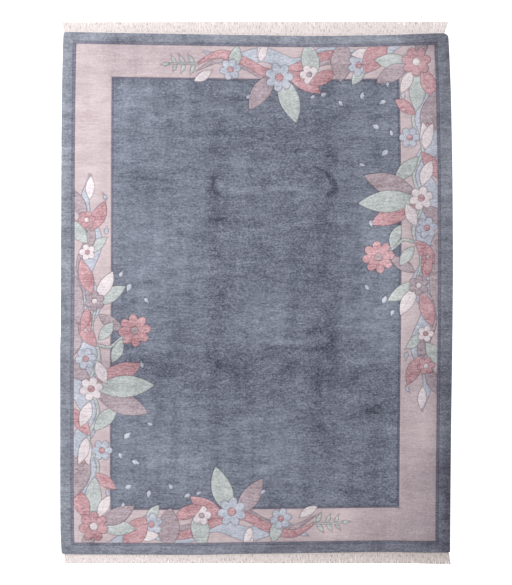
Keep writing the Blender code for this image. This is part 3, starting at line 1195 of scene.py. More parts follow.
def make_object(
    name: str, points: Array, faces: Sequence[Sequence[int]], materials: Sequence[bpy.types.Material]
) -> bpy.types.Object:
    """A named object from points and faces.

    Args:
        name: the object's name.
        points: the places, in metres, in the frame.
        faces: corner numbers of each face, anticlockwise from outside.
        materials: its finishes, the first on every face.

    Returns:
        The object, at the origin, linked to the scene and shaded smooth.
    """
    mesh = bpy.data.meshes.new(name)
    mesh.from_pydata(np.asarray(points).tolist(), [], faces)
    for material in materials:
        mesh.materials.append(material)
    mesh.shade_smooth()
    piece = bpy.data.objects.new(name, mesh)
    bpy.context.scene.collection.objects.link(piece)
    return piece


def store(mesh: bpy.types.Mesh, name: str, values: Array) -> None:
    """Keeps one number for each vertex under a name that materials read."""
    stored = mesh.attributes.new(name, "FLOAT", "POINT").data
    stored.foreach_set("value", np.asarray(values, dtype=np.float32))


def rim_edges(triangles: Array) -> Array:
    """Directed edges that only one triangle has, each in that triangle's own turn.

    Args:
        triangles: corner numbers of each triangle.

    Returns:
        Pairs of point numbers.
    """
    edges = np.vstack([triangles[:, [0, 1]], triangles[:, [1, 2]], triangles[:, [2, 0]]])
    _, where, count = np.unique(np.sort(edges, axis=1), axis=0, return_index=True, return_counts=True)
    return edges[where[count == 1]]


@dataclass
class Pile:
    """The knotted pile, one closed piece for each wool: its cut top, its sides down to the ground weave,
    and a flat base."""

    drawing: Drawing
    shape: PileShape
    grid: PileGrid
    wall_pull: float = 0.0012
    shade_reach: float = 0.0025
    edge_tolerance: float = 0.0002

    def build(self, finishes: dict[Wool, bpy.types.Material]) -> list[bpy.types.Object]:
        """Makes every wool's piece.

        Args:
            finishes: the material of each wool.

        Returns:
            The pieces, in the order of Wool.
        """
        places, triangles = self.grid.build()
        reading = self.drawing.read(places)
        heights = self.shape.heights(places, reading)
        knotted = self.drawing.read(places[triangles].mean(axis=1)).wool
        pieces = []
        for number, wool in enumerate(WOOLS):
            own = triangles[knotted == number]
            used, local = np.unique(own, return_inverse=True)
            piece = self.closed_piece(wool, places[used], heights[used], local.reshape(-1, 3), finishes[wool])
            store(piece.data, "carve", self.carved(piece, reading.line[used]))
            # the creases' painted shade
            store(piece.data, "crease", self.padded(piece, self.shape.creased(places[used])))
            # wear, and painted shade that darkens the rug towards the right and lower right
            store(piece.data, "wear_and_shade", self.padded(piece, self.shape.wear_and_shade(places[used])))
            pieces.append(piece)
            LOG.info("%s: %d triangles on top", wool.value, len(own))
        return pieces

    def carved(self, piece: bpy.types.Object, line: Array) -> Array:
        """How near each vertex is to a carved line, 1 on it, as a bell curve of the distance."""
        return self.padded(piece, np.exp(-((line / self.shade_reach) ** 2)))

    def padded(self, piece: bpy.types.Object, values: Array) -> Array:
        """Values of the top's vertices, with noughts for the rest of the piece."""
        return np.concatenate([values, np.zeros(len(piece.data.vertices) - len(values))])

    def closed_piece(
        self, wool: Wool, places: Array, heights: Array, top: Array, finish: bpy.types.Material
    ) -> bpy.types.Object:
        """Closes one wool's top with upright sides and a flat base.

        Args:
            wool: whose piece it is.
            places: the top's places on the nominal rug.
            heights: their heights.
            top: its triangles.
            finish: its material.

        Returns:
            The piece.
        """
        rim = rim_edges(top)
        ring, local = np.unique(rim, return_inverse=True)
        local = local.reshape(-1, 2)
        foot = places[ring]
        inset = self.drawing.cloth.inset(foot)
        outer = np.abs(inset) < self.edge_tolerance
        pulled = foot * (1 - self.wall_pull / np.abs(foot).max(axis=1))[:, None]
        foot = np.where(outer[:, None], pulled, foot)
        count = len(places)
        walls = np.column_stack([rim[:, 1], rim[:, 0], local[:, 0] + count, local[:, 1] + count])
        base_places, base = triangulated(foot, local, True)
        flat = self.drawing.cloth.real(np.vstack([places, foot]))
        level = np.concatenate([heights, np.full(len(foot), self.shape.bottom)])
        faces = top.tolist() + walls.tolist() + (base[:, ::-1] + count).tolist()
        piece = make_object(wool.value, np.column_stack([flat, level]), faces, [finish])
        if len(base_places) != len(foot):
            LOG.warning("%s: its base has %d places for %d", wool.value, len(base_places), len(foot))
        piece.data.set_sharp_from_angle(angle=SHARP_ANGLE)
        return piece


@dataclass
class GroundWeave:
    """The woven ground under the pile: a thin closed sheet, whose underside shows the backs of the knots in
    the colours of the design."""

    drawing: Drawing
    top: float = 0.0030
    inset: float = 0.0016
    step: float = 0.016
    frame_step: float = 0.05

    def build(self, finishes: Sequence[bpy.types.Material]) -> bpy.types.Object:
        """Makes the sheet.

        Args:
            finishes: the back of each wool, in the order of Wool, and then the cotton of its top and edge.

        Returns:
            The piece.
        """
        cloth = self.drawing.cloth
        edge = cloth.loop(self.inset, self.step)
        rim = Lines.joined([edge], True)
        grid = PileGrid(self.drawing, frame_step=self.frame_step)
        lines = rim.plus(grid.carved_lines()).plus(grid.frame_edges()).used()
        under, knots = triangulated(lines.points, lines.edges, False)
        knotted = self.drawing.read(under[knots].mean(axis=1)).wool
        _, cover = triangulated(edge, rim.edges, False)

        place = cloth.real(under)
        points = np.vstack([
            np.column_stack([place, np.zeros(len(under))]),
            np.column_stack([place[:len(edge)], np.full(len(edge), self.top)]),
        ])
        walls = np.column_stack([rim.edges, rim.edges[:, ::-1] + len(under)])
        faces = knots[:, ::-1].tolist() + walls.tolist() + (cover + len(under)).tolist()
        piece = make_object("ground_weave", points, faces, finishes)
        slots = np.concatenate([knotted, np.full(len(walls) + len(cover), len(WOOLS))])
        piece.data.polygons.foreach_set("material_index", slots.astype(np.int32))
        piece.data.set_sharp_from_angle(angle=SHARP_ANGLE)
        LOG.info("ground weave: %d triangles below", len(knots))
        return piece


@dataclass
class Fringe:
    """One end's fringe: two rows of twined cotton cord along the pile, and locks of twisted yarns.

    A lock's middle runs from its root to its tip as a curve that bends more near the tip. Neighbouring locks
    lean together in pairs, and at the corners of the rug they flare.
    """

    name: str
    node: str
    cloth: Cloth
    side: int
    seed: int
    root_left: float
    root_right: float
    tip_left: float
    tip_right: float
    end_line: tuple[PlaceRow, ...]
    # soil and painted shade at the fringe's left and right ends
    soil_and_shade: tuple[float, float]
    locks: int = 148
    yarns: int = 10
    sections: int = 8
    yarn_sides: int = 5
    yarn_radius: float = 0.00118
    yarn_height: float = 0.00085
    layer_lift: float = 0.7
    tip_size: float = 0.95
    strip_width: float = 0.0085
    strip_height: float = 0.0046
    gap: float = 0.0003
    lean: float = 0.0005
    lean_scatter: float = 0.0004
    length_scatter: float = 0.0012
    flare_reach: float = 0.20
    loosened: float = 0.0040
    tip_soil: float = 0.02
    wider: float = 0.0
    root_in_strip: float = 0.82
    root_spread: float = 0.0004
    tip_spread: float = 0.0006
    wave_sizes: tuple[float, float] = (0.0002, 0.0006)
    wave_counts: tuple[float, float] = (1.0, 2.4)
    reaches: tuple[float, float] = (-0.025, 0.01)
    bow: float = 0.4
    lift_lost: float = 0.8
    lift_scatter: float = 0.3
    yarn_turns: float = 9.0
    cord_turns: float = 420.0
    cord_sides: int = 8
    cords_past_root: float = 0.0041
    cord_rows: tuple[float, float] = (0.25, 0.75)
    sideways_shade_curve: float = 1.5
    cords_on_map: float = 0.12
    yarns_on_map: float = 0.86

    def roots(self) -> Array:
        """Middle of each lock's root along X, before the rug is centred.

        Returns:
            One place for each lock.
        """
        left, right = self.root_left - self.wider, self.root_right + self.wider
        half_pitch = 0.5 * (right - left) / self.locks
        return np.linspace(left + half_pitch, right - half_pitch, self.locks)

    def tips(self, root: Array) -> Array:
        """Tip of each lock, before the rug is centred.

        Args:
            root: X of each lock's root.

        Returns:
            X and Y of each tip.
        """
        random = np.random.default_rng(self.seed)
        pair = np.where(np.arange(self.locks) % 2 == 0, 1.0, -1.0) * self.lean
        lean = pair + random.uniform(-self.lean_scatter, self.lean_scatter, self.locks)
        from_left = np.clip(1 - (root - self.root_left) / self.flare_reach, 0, 1) ** 2
        from_right = np.clip(1 - (self.root_right - root) / self.flare_reach, 0, 1) ** 2
        x = root + lean + self.tip_left * from_left + self.tip_right * from_right
        y = smooth_row_value(self.end_line, x)
        y = y + self.side * (self.loosened - random.uniform(0, self.length_scatter, self.locks))
        return np.column_stack([x, y])

    def yarn_paths(self) -> Array:
        """Middle lines of all yarns, as yarn, section and place.

        The yarns of a lock lie in two layers, spread across the lock from its root to its tip, and each one
        strays a little by a slow wave of its own.

        Returns:
            The places, as yarn, section and X, Y, Z.
        """
        shift = self.cloth.shift()
        root, random = self.roots(), np.random.default_rng(self.seed + 100)
        tip = self.tips(root) + shift
        root_x = root + shift[0]
        root_y = self.cloth.end_edge(self.side, root_x)
        root_y = root_y + self.side * (self.gap + self.root_in_strip * self.strip_width)
        t = np.linspace(0, 1, self.sections)
        shape = (self.locks, self.yarns, 1)
        yarn = np.arange(self.yarns).reshape(1, -1, 1)
        across = yarn - 0.5 * (self.yarns - 1)
        pitch = (root[1] - root[0]) / self.yarns
        pitch_tip = np.gradient(tip[:, 0])[:, None, None] / self.yarns
        spread_root = pitch * across + random.uniform(-self.root_spread, self.root_spread, shape)
        spread_tip = pitch_tip * across + random.uniform(-self.tip_spread, self.tip_spread, shape)
        size = random.uniform(*self.wave_sizes, shape)
        phase = random.uniform(*self.wave_counts, shape) * t + random.uniform(0, 2, shape)
        wave = size * np.sin(math.pi * phase)
        bow = (tip[:, 0] - root_x)[:, None, None] * t * (1 - self.bow + self.bow * t)
        x = root_x[:, None, None] + bow + spread_root * (1 - t) + spread_tip * t + wave * np.sqrt(t)
        reach = 1 + random.uniform(*self.reaches, shape)
        y = root_y[:, None, None] + (tip[:, 1] - root_y)[:, None, None] * t * reach
        lift = self.layer_lift * (yarn % 2) * (1 - self.lift_lost * t)
        z = self.yarn_height * (1 + lift + random.uniform(0, self.lift_scatter, shape) * (1 - t))
        x, y, z = np.broadcast_arrays(x, y, z)
        return np.stack([x, y, z], axis=-1).reshape(-1, self.sections, 3)

    def cord_paths(self, step: float = 0.006) -> Array:
        """Middle lines of the two cords of the strip, as cord, section and place.

        Args:
            step: spacing of the sections along X.

        Returns:
            The places, as cord, section and X, Y, Z.
        """
        shift = self.cloth.shift()
        low, high = self.roots()[[0, -1]] + shift[0] + np.array([-1, 1]) * self.cords_past_root
        x = np.linspace(low, high, round((high - low) / step))
        edge = self.cloth.end_edge(self.side, x)
        across = self.gap + self.strip_width * np.array(self.cord_rows)
        y = edge + self.side * across[:, None]
        z = np.full_like(y, 0.5 * self.strip_height)
        return np.stack([np.broadcast_to(x, y.shape), y, z], axis=-1)

    def build(self, finish: bpy.types.Material) -> bpy.types.Object:
        """Makes the fringe as one piece of closed tubes, with their patterns' map and the bake's map.

        Args:
            finish: the yarns' material.

        Returns:
            The piece.
        """
        yarns = tubes(self.yarn_paths(), self.yarn_sides, self.yarn_radius, self.yarn_height, self.tip_size)
        half_cord = (0.25 * self.strip_width, 0.5 * self.strip_height)
        cords = tubes(self.cord_paths(), self.cord_sides, *half_cord, 1.0)
        points = np.vstack([yarns.points, cords.points])
        faces = yarns.faces + [tuple(corner + len(yarns.points) for corner in face) for face in cords.faces]
        piece = make_object(self.name, points, faces, [finish])
        turns = ((yarns.twist_map, self.yarn_turns), (cords.twist_map, self.cord_turns))
        twist = np.vstack([own * (1.0, turned) for own, turned in turns])
        upper = yarns.layout * (1.0, self.yarns_on_map) + (0.0, 1 - self.yarns_on_map)
        layout = np.vstack([upper, cords.layout * (1.0, self.cords_on_map)])
        for title, places in (("twist", twist), ("OFBake", layout)):
            piece.data.uv_layers.new(name=title).data.foreach_set("uv", places.ravel())
        piece.data.uv_layers.active = piece.data.uv_layers["twist"]
        from_left = (points[:, 0] - points[:, 0].min()) / np.ptp(points[:, 0])
        along = np.tile(np.repeat(np.linspace(0, 1, self.sections), self.yarn_sides), self.locks * self.yarns)
        along = np.concatenate([along, np.zeros(len(cords.points))])
        # painted shade across the fringe, darker to the left at the top end and to the right at the bottom
        # end; the tips' soil comes on top of it
        sideways = from_left**self.sideways_shade_curve
        soil_and_shade = self.soil_and_shade[0] + (self.soil_and_shade[1] - self.soil_and_shade[0]) * sideways + self.tip_soil * along
        store(piece.data, "soil_and_shade", soil_and_shade)
        LOG.info("%s: %d yarns, %d faces", self.name, self.locks * self.yarns, len(faces))
        return piece


@dataclass(frozen=True)
class Tubes:
    """Many closed tubes: points, faces, and two maps with a place for each corner of each face."""

    points: Array
    faces: list[tuple[int, ...]]
    twist_map: Array
    layout: Array


def tubes(paths: Array, sides: int, half_width: float, half_height: float, tip_size: float) -> Tubes:
    """Tubes round many level middle lines, their cross-section an ellipse that shrinks towards the last end.

    Args:
        paths: middle lines, as tube, section and place.
        sides: how many sides each tube has.
        half_width: the ellipse's half axis across the path, level with the floor.
        half_height: its upright half axis.
        tip_size: the share of the size that is left at the last section.

    Returns:
        The tubes, each closed by a flat end at its root and at its tip.
    """
    count, sections, _ = paths.shape
    along = np.gradient(paths, axis=1)
    across = np.stack([along[..., 1], -along[..., 0], np.zeros(along.shape[:2])], axis=-1)
    across /= np.linalg.norm(across, axis=-1, keepdims=True)
    angle = 2 * math.pi * np.arange(sides) / sides + math.pi / sides
    size = 1 - (1 - tip_size) * np.linspace(0, 1, sections) ** 3
    wide = half_width * np.cos(angle) * size[:, None]
    tall = half_height * np.sin(angle) * size[:, None]
    rings = paths[:, :, None, :] + across[:, :, None, :] * wide[None, :, :, None]
    rings = rings + tall[None, :, :, None] * np.array([0.0, 0.0, 1.0])
    rings[..., 2] = np.maximum(rings[..., 2], 0.0)
    points = rings.reshape(-1, 3)

    ranges = (np.arange(count), np.arange(sections - 1), np.arange(sides))
    tube, section, corner = np.meshgrid(*ranges, indexing="ij")
    beside = (corner + 1) % sides
    first = (tube * sections + section) * sides
    turns = (corner, beside, sides + beside, sides + corner)
    quads = np.stack([first + turn for turn in turns], axis=-1)
    u = np.stack([corner, corner + 1, corner + 1, corner], axis=-1) / sides
    v = np.stack([section, section, section + 1, section + 1], axis=-1) / (sections - 1)
    sides_map = np.stack([u, v], axis=-1).reshape(-1, 2)

    # The bake's map: a cell for each tube, its sides on most of it and its two ends past them. A few long
    # tubes have a row each, and many short ones share a square.
    columns = math.ceil(math.sqrt(count)) if count > 4 else 1
    rows = math.ceil(count / columns)
    cell = np.stack([tube % columns, tube // columns], axis=-1)[..., None, :]
    if columns == 1:
        inner = np.stack([0.05 + 0.85 * v, 0.1 + 0.8 * u], axis=-1)
    else:
        inner = np.stack([0.1 + 0.8 * u, 0.08 + 0.78 * v], axis=-1)
    layout = ((cell + inner) / (columns, rows)).reshape(-1, 2)

    start = np.arange(count) * sections * sides
    ends = np.concatenate([
        start[:, None] + np.arange(sides)[::-1], start[:, None] + (sections - 1) * sides + np.arange(sides)
    ])
    disc = 0.5 + 0.5 * round_places(angle)
    end_cell = np.column_stack([np.arange(count) % columns, np.arange(count) // columns])
    end_maps = []
    for index, order in enumerate((np.arange(sides)[::-1], np.arange(sides))):
        spot = (0.93, 0.1 + 0.4 * index) if columns == 1 else (0.1 + 0.4 * index, 0.89)
        inside = np.array(spot) + np.array([0.05, 0.08]) * disc[order]
        end_maps.append(((end_cell[:, None, :] + inside) / (columns, rows)).reshape(-1, 2))
    twist_map = np.vstack([sides_map, np.tile([0.5, 0.0], (2 * count * sides, 1))])
    faces = list(map(tuple, quads.reshape(-1, 4).tolist())) + list(map(tuple, ends.tolist()))
    return Tubes(points, faces, twist_map, np.vstack([layout, *end_maps]))


def screen(red: int, green: int, blue: int) -> Colour:
    """Linear colour from screen values.

    Args:
        red: red, from 0 to 255.
        green: green, likewise.
        blue: blue, likewise.

    Returns:
        Red, green and blue from 0 to 1, and a full alpha.
    """
    values = np.array([red, green, blue]) / 255.0
    linear = np.where(values <= 0.04045, values / 12.92, ((values + 0.055) / 1.055) ** 2.4)
    return (*(float(value) for value in linear), 1.0)


WHITE = (1.0, 1.0, 1.0, 1.0)


class Pattern(Enum):
    """The noises of the finishes: cells a metre along X, Y and Z, then detail and roughness."""

    CLOUDS = ((1.6, 2.1, 1.0), 7.0, 0.7)
    BANDS = ((3.4, 19.0, 1.0), 3.0, 0.6)
    LONG_BANDS = ((10.0, 1.1, 1.0), 2.0, 0.5)
    STREAKS = ((12.0, 105.0, 1.0), 2.0, 0.55)
    GRAIN = ((70.0, 112.0, 30.0), 2.0, 0.6)
    KNOT_ROWS = ((60.0, 210.0, 40.0), 2.0, 0.5)
    FIBRES = ((900.0, 900.0, 300.0), 2.0, 0.6)
    SMUDGES = ((5.5, 11.0, 1.0), 6.0, 0.66)
    WORN_GRAIN = ((95.0, 130.0, 30.0), 2.0, 0.6)
    TICKS = ((95.0, 130.0, 1.0), 2.0, 0.6)
    FLECKS = ((130.0, 42.0, 1.0), 2.0, 0.6)


class Nodes:
    """A short way to fill a node tree."""

    def __init__(self, tree: bpy.types.NodeTree) -> None:
        """Starts on a tree."""
        self.tree = tree

    def fill(self, node: bpy.types.Node, values: dict[str | int, object]) -> bpy.types.Node:
        """Feeds several inputs of a node.

        Args:
            node: the node.
            values: for each input, by name or number, the output to link to it or its own value.

        Returns:
            The same node.
        """
        for name, value in values.items():
            if isinstance(value, bpy.types.NodeSocket):
                self.tree.links.new(value, node.inputs[name])
            else:
                node.inputs[name].default_value = value
        return node

    def add(
        self, kind: str, output: int | str, values: dict[str | int, object], **settings: object
    ) -> Socket:
        """Adds a node.

        Args:
            kind: its kind in Blender, without the words ShaderNode.
            output: which output to give back, by name or number.
            values: its inputs, as in fill.
            settings: its plain settings.

        Returns:
            The output.
        """
        node = self.tree.nodes.new(f"ShaderNode{kind}")
        for name, value in settings.items():
            setattr(node, name, value)
        return self.fill(node, values).outputs[output]

    def maths(self, operation: str, first: object, second: object = 0.0, third: object = 0.0) -> Socket:
        """One sum on two or three numbers."""
        return self.add("Math", 0, {0: first, 1: second, 2: third}, operation=operation)

    def vectors(self, operation: str, values: dict[str | int, object]) -> Socket:
        """One sum on vectors."""
        return self.add("VectorMath", 0, values, operation=operation)

    def mix(self, amount: object, first: object, second: object) -> Socket:
        """Two colours, blended by the second one's share."""
        factor, colour_a, colour_b, result = 0, 6, 7, 2
        return self.add("Mix", result, {factor: amount, colour_a: first, colour_b: second}, data_type="RGBA")

    def place(self, cells: tuple[float, float, float]) -> Socket:
        """Object coordinates, scaled to so many cells a metre along X, Y and Z."""
        return self.add("Mapping", 0, {"Vector": self.add("TexCoord", "Object", {}), "Scale": cells})

    def noise(self, pattern: Pattern) -> Socket:
        """A noise on object coordinates.

        Args:
            pattern: which one.

        Returns:
            Values from 0 to 1, about a middle of 0.5.
        """
        cells, detail, roughness = pattern.value
        values = {"Vector": self.place(cells), "Scale": 1.0, "Detail": detail, "Roughness": roughness}
        return self.add("TexNoise", "Fac", values)

    def swing(self, pattern: Pattern) -> Socket:
        """A noise moved to a middle of nought."""
        return self.maths("SUBTRACT", self.noise(pattern), 0.5)

    def attribute(self, name: str) -> Socket:
        """A number stored on the mesh."""
        return self.add("Attribute", "Fac", {}, attribute_name=name)

    def effect(self, group: bpy.types.NodeTree, values: dict[str, object]) -> Socket:
        """A shared effect, fed with its inputs."""
        return self.add("Group", 0, values, node_tree=group)


class Group(Nodes):
    """A node group with named inputs and one output."""

    def __init__(
        self, name: str, inputs: dict[str, str], output: tuple[str, str] = ("Colour", "Color")
    ) -> None:
        """Makes an empty group.

        Args:
            name: the group's name.
            inputs: the kind of each of its inputs, Color or Float.
            output: its output's name and kind.
        """
        super().__init__(bpy.data.node_groups.new(name, "ShaderNodeTree"))
        for title, kind in inputs.items():
            self.tree.interface.new_socket(title, in_out="INPUT", socket_type=f"NodeSocket{kind}")
        title, kind = output
        self.tree.interface.new_socket(title, in_out="OUTPUT", socket_type=f"NodeSocket{kind}")
        self.bring = self.tree.nodes.new("NodeGroupInput").outputs
        self.end = self.tree.nodes.new("NodeGroupOutput")

    def finished(self, result: Socket) -> bpy.types.NodeTree:
        """The group, giving out a result."""
        self.fill(self.end, {0: result})
        return self.tree


@dataclass
class Effects:
    """The shader effects that several finishes share, each one a node group."""

    long_bands: float = 0.7
    knot_cells: tuple[float, float, float] = (330.0, 330.0, 120.0)
    knot_softness: float = 0.4
    knot_top: float = 0.6
    smudge_power: float = 2.0
    smudge_contrast: float = 2.0
    smudge_middle: float = -0.52
    darkening_start: float = 0.04
    darkening_limit: float = 0.18
    wear_and_shade_tint: tuple[float, float, float] = (-1.01, -1.03, -0.96)
    tick_contrast: float = 3.0
    tick_middle: float = 0.75

    def __post_init__(self) -> None:
        """Builds the groups."""
        self.dye = self.build_dye()
        self.tufts = self.build_tufts()
        self.shade = self.build_shade()
        self.shade_and_wear = self.build_shade_and_wear()

    def build_dye(self) -> bpy.types.NodeTree:
        """Uneven colour of hand-dyed wool: clouds, soft bands along and across the rug, fine streaks along
        the rows of knots, and the grain of tufts, each of which moves it between a dark and a light.

        Returns:
            The group.
        """
        floats = dict.fromkeys(("Clouds", "Bands", "Streaks", "Grain"), "Float")
        group = Group("uneven_dye", {"Dark": "Color", "Light": "Color", **floats})
        across, lengthways = group.swing(Pattern.BANDS), group.swing(Pattern.LONG_BANDS)
        swings = {
            "Clouds": group.swing(Pattern.CLOUDS),
            "Bands": group.maths("MULTIPLY_ADD", lengthways, self.long_bands, across),
            "Streaks": group.swing(Pattern.STREAKS),
            "Grain": group.swing(Pattern.GRAIN),
        }
        level = 0.5
        for title, swing in swings.items():
            level = group.maths("MULTIPLY_ADD", swing, group.bring[title], level)
        return group.finished(group.mix(level, group.bring["Dark"], group.bring["Light"]))

    def build_tufts(self) -> bpy.types.NodeTree:
        """Height of the cut tufts: a cell for each knot, the rows of knots, and the fibres' own roughness.

        Returns:
            The group.
        """
        group = Group("tufts", {"Knots": "Float", "Fibres": "Float"}, ("Height", "Float"))
        cells = {"Vector": group.place(self.knot_cells), "Scale": 1.0, "Smoothness": self.knot_softness}
        away = group.add("TexVoronoi", "Distance", cells, feature="SMOOTH_F1")
        knots = group.maths("SUBTRACT", self.knot_top, away)
        height = group.maths("MULTIPLY", knots, group.bring["Knots"])
        height = group.maths("MULTIPLY_ADD", group.swing(Pattern.FIBRES), group.bring["Fibres"], height)
        rows = group.swing(Pattern.KNOT_ROWS)
        return group.finished(group.maths("MULTIPLY_ADD", rows, group.bring["Knots"], height))

    def build_shade(self) -> bpy.types.NodeTree:
        """Darkens a colour towards a shade by an amount.

        Returns:
            The group.
        """
        group = Group("carved_shade", {"Colour": "Color", "Shade": "Color", "Amount": "Float"})
        return group.finished(group.mix(group.bring["Amount"], group.bring["Colour"], group.bring["Shade"]))

    def build_shade_and_wear(self) -> bpy.types.NodeTree:
        """Scales a colour down by the wear and painted shade stored on the mesh, by smudges whose dark spots
        are stronger than their pale ones, and by a tuft grain that grows with that darkening up to a limit;
        paints shade into the creases, broken into short ticks.

        Returns:
            The group.
        """
        group = Group("shade_and_wear", {"Colour": "Color", "Shade": "Color", "Smudges": "Float", "Grain": "Float"})
        stored, colour = group.attribute("wear_and_shade"), group.bring["Colour"]
        smudges = group.maths("POWER", group.noise(Pattern.SMUDGES), self.smudge_power)
        smudges = group.maths("MULTIPLY_ADD", smudges, self.smudge_contrast, self.smudge_middle)
        wear_and_shade = group.maths("MULTIPLY_ADD", smudges, group.bring["Smudges"], stored)
        limited = group.maths("MAXIMUM", group.maths("ADD", stored, self.darkening_start), 0.0)
        limited = group.maths("MINIMUM", limited, self.darkening_limit)
        grain = group.maths("MULTIPLY", group.swing(Pattern.WORN_GRAIN), limited)
        wear_and_shade = group.maths("MULTIPLY_ADD", grain, group.bring["Grain"], wear_and_shade)
        # darkening by wear and by the painted shade stored on the mesh
        change = group.vectors("SCALE", {0: self.wear_and_shade_tint, "Scale": wear_and_shade})
        scaled = group.vectors("MULTIPLY_ADD", {0: colour, 1: change, 2: colour})
        # painted shade in the creases, broken into short ticks
        ticks = group.maths("MULTIPLY_ADD", group.swing(Pattern.TICKS), self.tick_contrast, self.tick_middle)
        pressed = group.maths("MULTIPLY", group.attribute("crease"), ticks)
        return group.finished(group.mix(pressed, scaled, group.bring["Shade"]))


class Finish(Nodes):
    """A new material, to fill."""

    def __init__(self, name: str) -> None:
        """Makes the material.

        Args:
            name: its name.
        """
        self.material = bpy.data.materials.new(name)
        self.material.use_nodes = True
        super().__init__(self.material.node_tree)
        self.shader = self.tree.nodes["Principled BSDF"]

    def coated(
        self, colour: Socket, height: Socket, strength: float, distance: float, values: dict[str, float]
    ) -> bpy.types.Material:
        """Feeds the shader.

        Args:
            colour: the base colour.
            height: the relief, from about 0 to 1.
            strength: how strongly the relief shows.
            distance: how high the relief is, in metres.
            values: the shader's plain inputs.

        Returns:
            The material.
        """
        normal = self.add("Bump", "Normal", {"Height": height, "Strength": strength, "Distance": distance})
        self.fill(self.shader, {"Base Color": colour, "Normal": normal, **values})
        return self.material


@dataclass(frozen=True)
class WoolFinish:
    """Cut pile of one dyed wool: the darkest and lightest of its colour, how it varies, and the shade that
    gathers in its carved lines."""

    name: str
    dark: Colour
    light: Colour
    line_shade: Colour
    clouds: float = 1.1
    bands: float = 0.9
    streaks: float = 0.9
    grain: float = 1.6
    line_amount: float = 0.55
    smudges: float = 0.16
    worn_grain: float = 3.0
    fibres: float = 0.4
    relief: float = 0.8
    pile_height: float = 0.0012
    back_height: float = 0.0006

    def material(self, effects: Effects, raised: bool = True) -> bpy.types.Material:
        """The finish as a material.

        Args:
            effects: the shared shader groups.
            raised: cut pile with carved lines, or else the flat back of the knots.

        Returns:
            The material.
        """
        finish = Finish(self.name if raised else f"{self.name}_back")
        colour = finish.effect(effects.dye, {
            "Dark": self.dark, "Light": self.light, "Clouds": self.clouds, "Bands": self.bands,
            "Streaks": self.streaks, "Grain": self.grain,
        })
        if raised:
            # painted shade in the carved lines, together with the darker yarn of their outlines
            amount = finish.maths("MULTIPLY", finish.attribute("carve"), self.line_amount)
            shade = {"Shade": self.line_shade, "Amount": amount}
            colour = finish.effect(effects.shade, {"Colour": colour, **shade})
            shade_and_wear = {"Shade": self.line_shade, "Smudges": self.smudges, "Grain": self.worn_grain}
            colour = finish.effect(effects.shade_and_wear, {"Colour": colour, **shade_and_wear})
        height = finish.effect(effects.tufts, {"Knots": 1.0, "Fibres": self.fibres})
        return finish.coated(
            colour, height, self.relief, self.pile_height if raised else self.back_height,
            {"Roughness": 0.95, "Sheen Weight": 0.25, "Sheen Roughness": 0.5, "Specular IOR Level": 0.2},
        )


@dataclass(frozen=True)
class CottonFinish:
    """Twisted cotton yarn: its colour, the soil and painted shade on it, the flecks on it, and the shaded
    side of the twist.
    """

    name: str
    dark: Colour
    light: Colour
    soil_and_shade: Colour
    plies: float = 2.0
    ply_shade: float = 0.25
    flecks: float = 3.1
    fleck_start: float = 0.52
    relief: float = 0.5
    ply_height: float = 0.0004

    def material(self, effects: Effects) -> bpy.types.Material:
        """The finish as a material, its twist following the piece's own map.

        Args:
            effects: the shared shader groups.

        Returns:
            The material.
        """
        finish = Finish(self.name)
        dye = {"Dark": self.dark, "Light": self.light, "Clouds": 0.8, "Streaks": 0.5, "Grain": 0.9}
        dyed = finish.effect(effects.dye, dye)
        twist = finish.add("UVMap", 0, {}, uv_map="twist")
        around, along = (finish.add("SeparateXYZ", axis, {0: twist}) for axis in ("X", "Y"))
        lay = finish.maths("MULTIPLY_ADD", around, self.plies, along)
        wave = finish.maths("SINE", finish.maths("MULTIPLY", lay, 2 * math.pi))
        height = finish.maths("MULTIPLY_ADD", wave, 0.5, 0.5)
        groove = finish.maths("MULTIPLY", finish.maths("SUBTRACT", 1.0, height), self.ply_shade)
        twisted = finish.mix(groove, dyed, self.dark)
        flecks = finish.maths("SUBTRACT", finish.noise(Pattern.FLECKS), self.fleck_start)
        flecks = finish.maths("MULTIPLY", finish.maths("MAXIMUM", flecks, 0.0), self.flecks)
        soil_and_shade = finish.maths("ADD", finish.attribute("soil_and_shade"), flecks)
        colour = finish.effect(effects.shade, {"Colour": twisted, "Shade": self.soil_and_shade, "Amount": soil_and_shade})
        plain = {"Roughness": 0.9, "Sheen Weight": 0.15}
        return finish.coated(colour, height, self.relief, self.ply_height, plain)


@dataclass(frozen=True)
class GroundFinish:
    """Plain cotton of the ground weave where it shows at the rug's edge: fine ribs of wefts over warps."""

    name: str
    dark: Colour
    light: Colour
    fibres: float = 0.3
    relief: float = 0.6
    rib_height: float = 0.0006

    def material(self, effects: Effects) -> bpy.types.Material:
        """The finish as a material.

        Args:
            effects: the shared shader groups.

        Returns:
            The material.
        """
        finish = Finish(self.name)
        dye = {"Dark": self.dark, "Light": self.light, "Clouds": 0.5, "Streaks": 1.0, "Grain": 1.2}
        colour = finish.effect(effects.dye, dye)
        height = finish.effect(effects.tufts, {"Knots": 1.0, "Fibres": self.fibres})
        return finish.coated(colour, height, self.relief, self.rib_height, {"Roughness": 0.95})


# painted shade of the carved lines and of the creases
NAVY_SHADE = screen(58, 60, 78)
PLUM_SHADE = screen(112, 96, 106)

# Clouds, bands, streaks and grain of the plain border, and of the wools that the garlands are knotted in
CALM = (1.0, 0.6, 0.7, 0.7)
MOTTLED = (1.2, 0.8, 0.9, 1.7)

